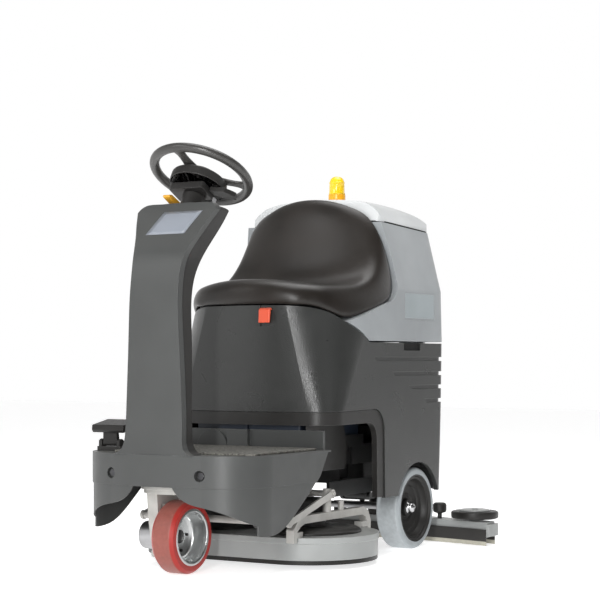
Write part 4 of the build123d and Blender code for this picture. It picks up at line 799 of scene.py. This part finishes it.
# Castings and mouldings: edge radius of each, in metres
edgeRadii = {
    "front_cover": 0.004, "column_rear_cover": 0.004, "dash_panel": 0.0012, "lower_housing": 0.003,
    "arch_band": 0.004, "recovery_tank": 0.004, "tank_lid": 0.004, "deck_shell": 0.003,
    "deck_bridges": 0.003, "drive_leg": 0.003, "squeegee_body": 0.002, "seat_latch": 0.006,
    "column_lever": 0.003, "direction_paddle": 0.003, "steering_hub": 0.003, "steering_tube": 0.002,
    "accelerator_pedal": 0.003, "pedal_bracket": 0.0015, "platform_mat": 0.002,
    "drive_turntable": 0.0015, "squeegee_bracket": 0.002, "squeegee_lift_arm": 0.0015,
    "squeegee_knobs": 0.002, "deck_arms": 0.0015, "level_link": 0.0015, "brush_motors": 0.002,
    "inner_panels": 0.003, "front_bolts": 0.0008, "deck_skirt": 0.001, "lift_tube": 0.001,
    "lift_rod": 0.001, "drive_motor": 0.0015, "brush_button": 0.0008, "suction_button": 0.0008,
    "key": 0.0006, "beacon_base": 0.0015,
}
ownFinish = {"front_bolts": boltSteel, "tank_lid": lidSilver}
for node, width in edgeRadii.items():
    moulding = roundedCopy(node, width)
    if node in ownFinish:
        moulding.data.materials[0] = ownFinish[node]
for node, shown in frame["nodes"].items():
    shown.data.materials.clear()
    shown.data.materials.append(finishes[slotOf[node]])
print("mouldings made")


# Seat: one foam moulding. Each row runs from the middle over the bolster's crest to the lower edge.
seatShape = {
    "rows": [
        ((-0.206, 0.741), (0.130, -0.191, 0.741), (0.148, -0.184, 0.740)),
        ((-0.217, 0.758), (0.140, -0.198, 0.755), (0.174, -0.177, 0.740)),
        ((-0.217, 0.790), (0.158, -0.190, 0.774), (0.197, -0.160, 0.740)),
        ((-0.199, 0.816), (0.184, -0.166, 0.788), (0.218, -0.138, 0.736)),
        ((-0.160, 0.824), (0.208, -0.131, 0.795), (0.240, -0.105, 0.724)),
        ((-0.100, 0.810), (0.228, -0.075, 0.799), (0.262, -0.055, 0.702)),
        ((-0.030, 0.790), (0.244, -0.008, 0.802), (0.275, 0.014, 0.714)),
        ((0.045, 0.794), (0.254, 0.062, 0.813), (0.282, 0.085, 0.733)),
        ((0.096, 0.836), (0.260, 0.126, 0.846), (0.284, 0.160, 0.752)),
        ((0.116, 0.913), (0.248, 0.164, 0.897), (0.279, 0.216, 0.786)),
        ((0.133, 0.988), (0.227, 0.178, 0.956), (0.262, 0.221, 0.872)),
        ((0.148, 1.042), (0.198, 0.186, 1.014), (0.243, 0.209, 0.944)),
        ((0.168, 1.078), (0.148, 0.192, 1.052), (0.213, 0.200, 1.003)),
        ((0.188, 1.084), (0.105, 0.200, 1.061), (0.176, 0.202, 1.029)),
        ((0.203, 1.060), (0.100, 0.206, 1.040), (0.150, 0.205, 1.020)),
        ((0.203, 1.020), (0.100, 0.204, 1.010), (0.140, 0.201, 1.005)),
    ],
    "across": (0.0, 0.34, 0.66, 0.86, 1.0), "lift": 2.4, "brow": 0.42, "browOut": 0.5,
    "thickness": 0.018, "levels": 3,
}


def seatRow(middle, crest, low):
    right = []
    centre = Vector((0, *middle))
    peak = Vector(crest)
    for share in seatShape["across"]:
        point = centre.lerp(peak, share)
        # the hollow stays flat in the middle and lifts near the bolster
        rise = share ** seatShape["lift"]
        point.y = centre.y + (peak.y - centre.y) * rise
        point.z = centre.z + (peak.z - centre.z) * rise
        right.append(point)
    brow = peak.lerp(Vector(low), seatShape["brow"])
    brow.x += seatShape["browOut"] * (low[0] - brow.x)
    right.append(brow)
    right.append(Vector(low))
    left = [Vector((-point.x, point.y, point.z)) for point in reversed(right[1:])]
    return left + right


rows = [seatRow(*row) for row in seatShape["rows"]]
width = len(rows[0])
seatPoints = [point for row in rows for point in row]
seatFaces = [(r * width + c, r * width + c + 1, (r + 1) * width + c + 1, (r + 1) * width + c)
             for r in range(len(rows) - 1) for c in range(width - 1)]
seatPiece = newPiece("seatCushion", cageMesh("seatCushion", seatPoints, seatFaces),
                     finishes["seat_leather"])
foam = seatPiece.modifiers.new("foam", "SOLIDIFY")
foam.thickness = seatShape["thickness"]
foam.offset = -1
subdivide(seatPiece, seatShape["levels"])
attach(seatPiece, "tank")
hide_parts("seat")

# Dark pan that closes the seat from below, just inside the housing's edge
panShape = {"rows": [(-0.186, 0.125, 0.752), (-0.150, 0.185, 0.750), (-0.105, 0.212, 0.740),
                     (-0.06, 0.232, 0.722)], "thickness": 0.006}
panPoints = []
for reach, half, level in panShape["rows"]:
    panPoints += [(-half, reach, level), (0, reach, level), (half, reach, level)]
panFaces = [(3 * r + c, 3 * r + c + 1, 3 * r + c + 4, 3 * r + c + 3) for r in range(3) for c in range(2)]
seatPan = newPiece("seatPan", cageMesh("seatPan", panPoints, panFaces), finishes["black_plastic"])
panWall = seatPan.modifiers.new("plate", "SOLIDIFY")
panWall.thickness = panShape["thickness"]
roundEdges(seatPan, 0.0012, 2)
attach(seatPan, "tank")
print("seat made")


# Steering wheel: fat grip with three moulded spokes that flare into the rim
wheelShape = {"hub": (0, -0.415, 1.102), "tilt": 28, "rimRadius": 0.136, "grip": (0.0138, 0.0128),
              "gripPoints": 20, "spokeAngles": (-90, 30, 150), "spokeStart": 0.03, "spokeRun": 0.104,
              "spokeDip": 0.006, "spokeEdge": 0.4}
wheelPlace = Matrix.Translation(wheelShape["hub"]) @ Matrix.Rotation(-radians(wheelShape["tilt"]), 4, "X")
gripAcross, gripDeep = wheelShape["grip"]
gripPoints = wheelShape["gripPoints"]
gripSection = [(wheelShape["rimRadius"] + gripAcross * sin(2 * pi * turn / gripPoints),
                gripDeep * cos(2 * pi * turn / gripPoints)) for turn in range(gripPoints + 1)]
rim = turnedPiece("steeringRim", gripSection, wheelPlace, gripRubber, steps=128)
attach(rim, "steering")
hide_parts("steering_wheel")
spokeSections = [(0.030, 0.026, 0.0075), (0.052, 0.021, 0.007), (0.085, 0.0145, 0.0062),
                 (0.110, 0.0145, 0.0065), (0.124, 0.021, 0.008), (0.134, 0.028, 0.0085)]
for index, angle in enumerate(wheelShape["spokeAngles"]):
    points = []
    for reach, half, deep in spokeSections:
        dip = -wheelShape["spokeDip"] * (1 - (reach - wheelShape["spokeStart"]) / wheelShape["spokeRun"])
        shoulder = dip + wheelShape["spokeEdge"] * deep
        points += [(reach, -half, shoulder), (reach, 0, dip + deep), (reach, half, shoulder),
                   (reach, half, dip - deep), (reach, -half, dip - deep)]
    faces = [(5 * s + c, 5 * s + (c + 1) % 5, 5 * s + 5 + (c + 1) % 5, 5 * s + 5 + c)
             for s in range(len(spokeSections) - 1) for c in range(5)]
    last = 5 * (len(spokeSections) - 1)
    faces += [(4, 3, 2, 1, 0), tuple(last + c for c in range(5))]
    spoke = newPiece(f"steeringSpoke{index + 1}", cageMesh("spoke", points, faces), gripRubber)
    cage = bmesh.new()
    cage.from_mesh(spoke.data)
    bmesh.ops.recalc_face_normals(cage, faces=cage.faces)
    cage.to_mesh(spoke.data)
    cage.free()
    spoke.data.transform(wheelPlace @ Matrix.Rotation(radians(angle), 4, "Z"))
    subdivide(spoke, 2)
    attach(spoke, "steering")
padSection = [(0, 0.006), (0.030, 0.0055), (0.046, 0.002), (0.052, -0.004), (0.052, -0.009), (0, -0.009)]
pad = turnedPiece("steeringPad", padSection, wheelPlace, finishes["black_rubber"], bevel=0.0012)
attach(pad, "steering")
print("steering wheel made")


# Wheels, turned about their axles. Heights run outwards along the axle.
wheelPlaces = {"drive": (0, -0.505, 0.1), "rear": (0.237, 0.361, 0.125), "roller": (0.375, 0.575, 0.093)}
screwShape = {"count": 5, "circle": 0.042, "firstTurn": 20, "seat": -0.0135}


def axlePlace(x, y, z, outward):
    return Matrix.Translation((x, y, z)) @ Matrix.Rotation(radians(90 * outward), 4, "Y")


drivePlace = axlePlace(*wheelPlaces["drive"], 1)
driveTyreSection = [(0.078, 0.0365), (0.0895, 0.0365), (0.0915, 0.0358), (0.0995, 0.0258), (0.1, 0.0240),
                    (0.1, -0.0240), (0.0995, -0.0258), (0.0915, -0.0358), (0.0895, -0.0365),
                    (0.078, -0.0365), (0.078, 0.0365)]
driveTyre = turnedPiece("driveTyre", driveTyreSection, drivePlace, finishes["tyre_red"], bevel=0.0006)
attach(driveTyre, "drive_wheel")
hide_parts("drive_tyre")
driveHubSection = [(0.01505, -0.0085), (0.0275, -0.0085), (0.0300, -0.0140), (0.0360, -0.0150),
                   (0.0520, -0.0145), (0.0570, -0.0125), (0.0620, -0.0085), (0.0640, -0.004),
                   (0.0655, 0.006), (0.0665, 0.020), (0.0690, 0.0350), (0.0712, 0.0372),
                   (0.0745, 0.0374), (0.0778, 0.0362), (0.0779, -0.034), (0.01505, -0.034),
                   (0.01505, -0.0085)]
driveHub = turnedPiece("driveHub", driveHubSection, drivePlace, finishes["turned_aluminium"], steps=128,
                       bevel=0.0006)
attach(driveHub, "drive_wheel")
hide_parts("drive_hub")
hubCapSection = [(0, -0.0032), (0.0150, -0.0034), (0.0178, -0.0046), (0.0185, -0.0062), (0.0185, -0.0072),
                 (0, -0.0072)]
hubCap = turnedPiece("hubCap", hubCapSection, drivePlace, finishes["black_plastic"], steps=64)
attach(hubCap, "drive_wheel")
screwSection = [(0, -0.001), (0.0016, -0.001), (0.0016, 0.004), (0.0032, 0.0042), (0.0042, 0.0036),
                (0.0042, -0.003), (0, -0.003)]
for index in range(screwShape["count"]):
    turn = radians(360 / screwShape["count"] * index + screwShape["firstTurn"])
    screwPlace = drivePlace @ Matrix.Translation((screwShape["circle"] * cos(turn),
                                                  screwShape["circle"] * sin(turn), screwShape["seat"]))
    hubScrew = turnedPiece(f"hubScrew{index + 1}", screwSection, screwPlace, finishes["black_plastic"],
                           steps=24)
    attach(hubScrew, "drive_wheel")

rearTyreSection = [(0.104, 0.0390), (0.1145, 0.0390), (0.1190, 0.0372), (0.1235, 0.0330), (0.125, 0.0290),
                   (0.125, -0.0290), (0.1235, -0.0330), (0.1190, -0.0372), (0.1145, -0.0390),
                   (0.104, -0.0390), (0.104, 0.0390)]
rearRimSection = [(0.01005, 0.012), (0.0235, 0.0125), (0.0262, 0.0105), (0.0275, -0.001), (0.031, -0.0022),
                  (0.040, -0.0020), (0.0455, 0.0030), (0.067, 0.0055), (0.0705, 0.0095), (0.083, 0.0125),
                  (0.0875, 0.0200), (0.0895, 0.0305), (0.0955, 0.0325), (0.0990, 0.0385), (0.1035, 0.0388),
                  (0.1038, -0.0388), (0.094, -0.0388), (0.090, -0.012), (0.034, -0.012), (0.030, -0.038),
                  (0.01005, -0.038), (0.01005, 0.012)]
axleCapSection = [(0, 0.0345), (0.0050, 0.0340), (0.0100, 0.0320), (0.0140, 0.0282), (0.0162, 0.0225),
                  (0.0168, 0.0150), (0.0195, 0.0140), (0.0195, 0.0110), (0.0120, 0.0110)]
for side, sign in sides:
    rearX, rearY, rearZ = wheelPlaces["rear"]
    rearPlace = axlePlace(sign * rearX, rearY, rearZ, sign)
    body = "rear_wheel_" + side.lower()
    tyre = turnedPiece("rearTyre" + side, rearTyreSection, rearPlace, finishes["tyre_grey"], bevel=0.0008)
    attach(tyre, body)
    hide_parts("rear_tyre_" + side.lower())
    rimPiece = turnedPiece("rearRim" + side, rearRimSection, rearPlace, finishes["black_plastic"], steps=112,
                           bevel=0.0008)
    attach(rimPiece, body)
    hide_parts("rear_rim_" + side.lower())
    axleCap = turnedPiece("axleCap" + side, axleCapSection, rearPlace, capSteel, steps=64)
    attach(axleCap, body)
print("wheels made")


# Beacon lens with fine ribs, and its cap
beaconShape = {"place": (0, 0.351, 1.111), "ribs": 36, "ribDepth": 0.0007, "radius": 0.025,
               "ribbed": (0.007, 0.034), "stepsPerRib": 4}
lensPlace = Matrix.Translation(beaconShape["place"])
lensProfile = [(0, 0.0578), (0.009, 0.0572), (0.0145, 0.0550), (0.0195, 0.0505), (0.0225, 0.0440),
               (0.0238, 0.0400), (0.0252, 0.0385), (0.0252, 0.0365), (0.0240, 0.0350), (0.0250, 0.0060),
               (0.0262, 0.0040), (0.0262, 0.0003), (0, 0.0003)]
lens = turnedPiece("beaconLens", lensProfile, Matrix.Identity(4), finishes["beacon_yellow"],
                   steps=beaconShape["stepsPerRib"] * beaconShape["ribs"])
ribLow, ribHigh = beaconShape["ribbed"]
for corner in lens.data.vertices:
    if ribLow < corner.co.z < ribHigh:
        turn = Vector((corner.co.x, corner.co.y)).angle_signed(Vector((1, 0)), 0)
        swell = 1 + beaconShape["ribDepth"] / beaconShape["radius"] * cos(beaconShape["ribs"] * turn)
        corner.co.x *= swell
        corner.co.y *= swell
lens.data.transform(lensPlace)
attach(lens, "lid")
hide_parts("beacon_lens")
print("beacon made")


# Guide rollers with a light hub
rollerSection = [(0.0082, 0.014), (0.029, 0.014), (0.034, 0.0095), (0.062, 0.0118), (0.069, 0.0118),
                 (0.0735, 0.0095), (0.075, 0.0065), (0.075, -0.0065), (0.0735, -0.0095), (0.069, -0.0118),
                 (0.030, -0.010), (0.030, -0.0118), (0.0082, -0.0118), (0.0082, 0.014)]
rollerCoverSection = [(0.0125, 0.0166), (0.0440, 0.0166), (0.0480, 0.0152), (0.0490, 0.0118),
                      (0.0125, 0.0118), (0.0125, 0.0166)]
for side, sign in sides:
    rollerX, rollerY, rollerZ = wheelPlaces["roller"]
    rollerPlace = Matrix.Translation((sign * rollerX, rollerY, rollerZ))
    roller = turnedPiece("guideRoller" + side, rollerSection, rollerPlace, finishes["black_rubber"],
                         bevel=0.0008)
    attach(roller, "roller_" + side.lower())
    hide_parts("guide_roller_" + side.lower())
    cover = turnedPiece("rollerCover" + side, rollerCoverSection, rollerPlace, finishes["deck_white"],
                        bevel=0.0005)
    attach(cover, "roller_" + side.lower())
print("rollers made")


# Turn that lays a plate on the machine's left side (sign 1) or right side (sign -1)
def sideTurn(sign):
    facing = Matrix.Rotation(radians(90), 4, "Z") @ Matrix.Rotation(radians(90), 4, "X")
    if sign < 0:
        facing = Matrix.Rotation(pi, 4, "Z") @ facing
    return facing


# Blank plates on the sides of the tank, in the moulded fields
sideShape = {"y": 0.374, "z": 0.750, "half": (0.097, 0.038), "corner": 0.004, "sunk": 0.0010,
             "thickness": 0.0008}
for side, sign in sides:
    plateX = sign * (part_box("recovery_tank")[1][0] - sideShape["sunk"])
    place = Matrix.Translation((plateX, sideShape["y"], sideShape["z"])) @ sideTurn(sign)
    plate = platePiece("sidePlate" + side, sideShape["half"], sideShape["corner"],
                       sideShape["thickness"], place, plateGrey)
    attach(plate, "tank")

# Blank label, laid on the column's own surface
labelShape = {"centre": (0.010, 0.957), "half": (0.064, 0.032), "slant": 0.016, "columns": 8, "rows": 8,
              "proud": 0.0009, "thickness": 0.0007}
coverMesh = frame["nodes"]["front_cover"].data
coverTree = BVHTree.FromPolygons([corner.co for corner in coverMesh.vertices],
                                 [face.vertices for face in coverMesh.polygons])
labelPoints = []
for row in range(labelShape["rows"] + 1):
    up = 2 * row / labelShape["rows"] - 1
    for column in range(labelShape["columns"] + 1):
        along = 2 * column / labelShape["columns"] - 1
        x = labelShape["centre"][0] + along * labelShape["half"][0] + up * labelShape["slant"]
        level = labelShape["centre"][1] + up * labelShape["half"][1]
        touch = coverTree.ray_cast(Vector((x, -1, level)), Vector((0, 1, 0)))[0]
        labelPoints.append((x, touch.y - labelShape["proud"], level))
wide = labelShape["columns"] + 1
labelFaces = [(r * wide + c, r * wide + c + 1, (r + 1) * wide + c + 1, (r + 1) * wide + c)
              for r in range(labelShape["rows"]) for c in range(labelShape["columns"])]
label = newPiece("columnLabel", cageMesh("columnLabel", labelPoints, labelFaces), plateWhite)
sticker = label.modifiers.new("thickness", "SOLIDIFY")
sticker.thickness = labelShape["thickness"]
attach(label, "root")

# Near-black sheets at the back of the hand pockets: painted shade in the recesses
pocketShape = {"x": 0.2802, "y": 0.320, "z": 0.6235, "half": (0.0555, 0.0118), "corner": 0.003,
               "thickness": 0.0015}
for side, sign in sides:
    pocketPlace = (sign * pocketShape["x"], pocketShape["y"], pocketShape["z"])
    place = Matrix.Translation(pocketPlace) @ sideTurn(sign)
    shadeSheet = platePiece("pocketLining" + side, pocketShape["half"], pocketShape["corner"],
                        pocketShape["thickness"], place, recessBlack, bevel=0.0003)
    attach(shadeSheet, "root")

# Gasket under the rim of the lid, near-black so that it also stands as painted shade in the gap under the
# lid. Its line falls to the rear with the tank's edge.
gasketShape = {"centreY": 0.376, "half": (0.2325, 0.167), "corner": 0.04, "radius": 0.0056,
               "frontZ": 1.0050, "fall": 0.0501, "frontY": 0.201}
gasketPoints = []
for x, across in roundedOutline(gasketShape["half"], gasketShape["corner"], 5):
    y = across + gasketShape["centreY"]
    gasketPoints.append((x, y, gasketShape["frontZ"] - gasketShape["fall"] * (y - gasketShape["frontY"])))
gasketAndGapShade = tubePiece("lidGasket", gasketPoints, gasketShape["radius"], recessBlack, closed=True)
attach(gasketAndGapShade, "tank")
print("plates and trims made")
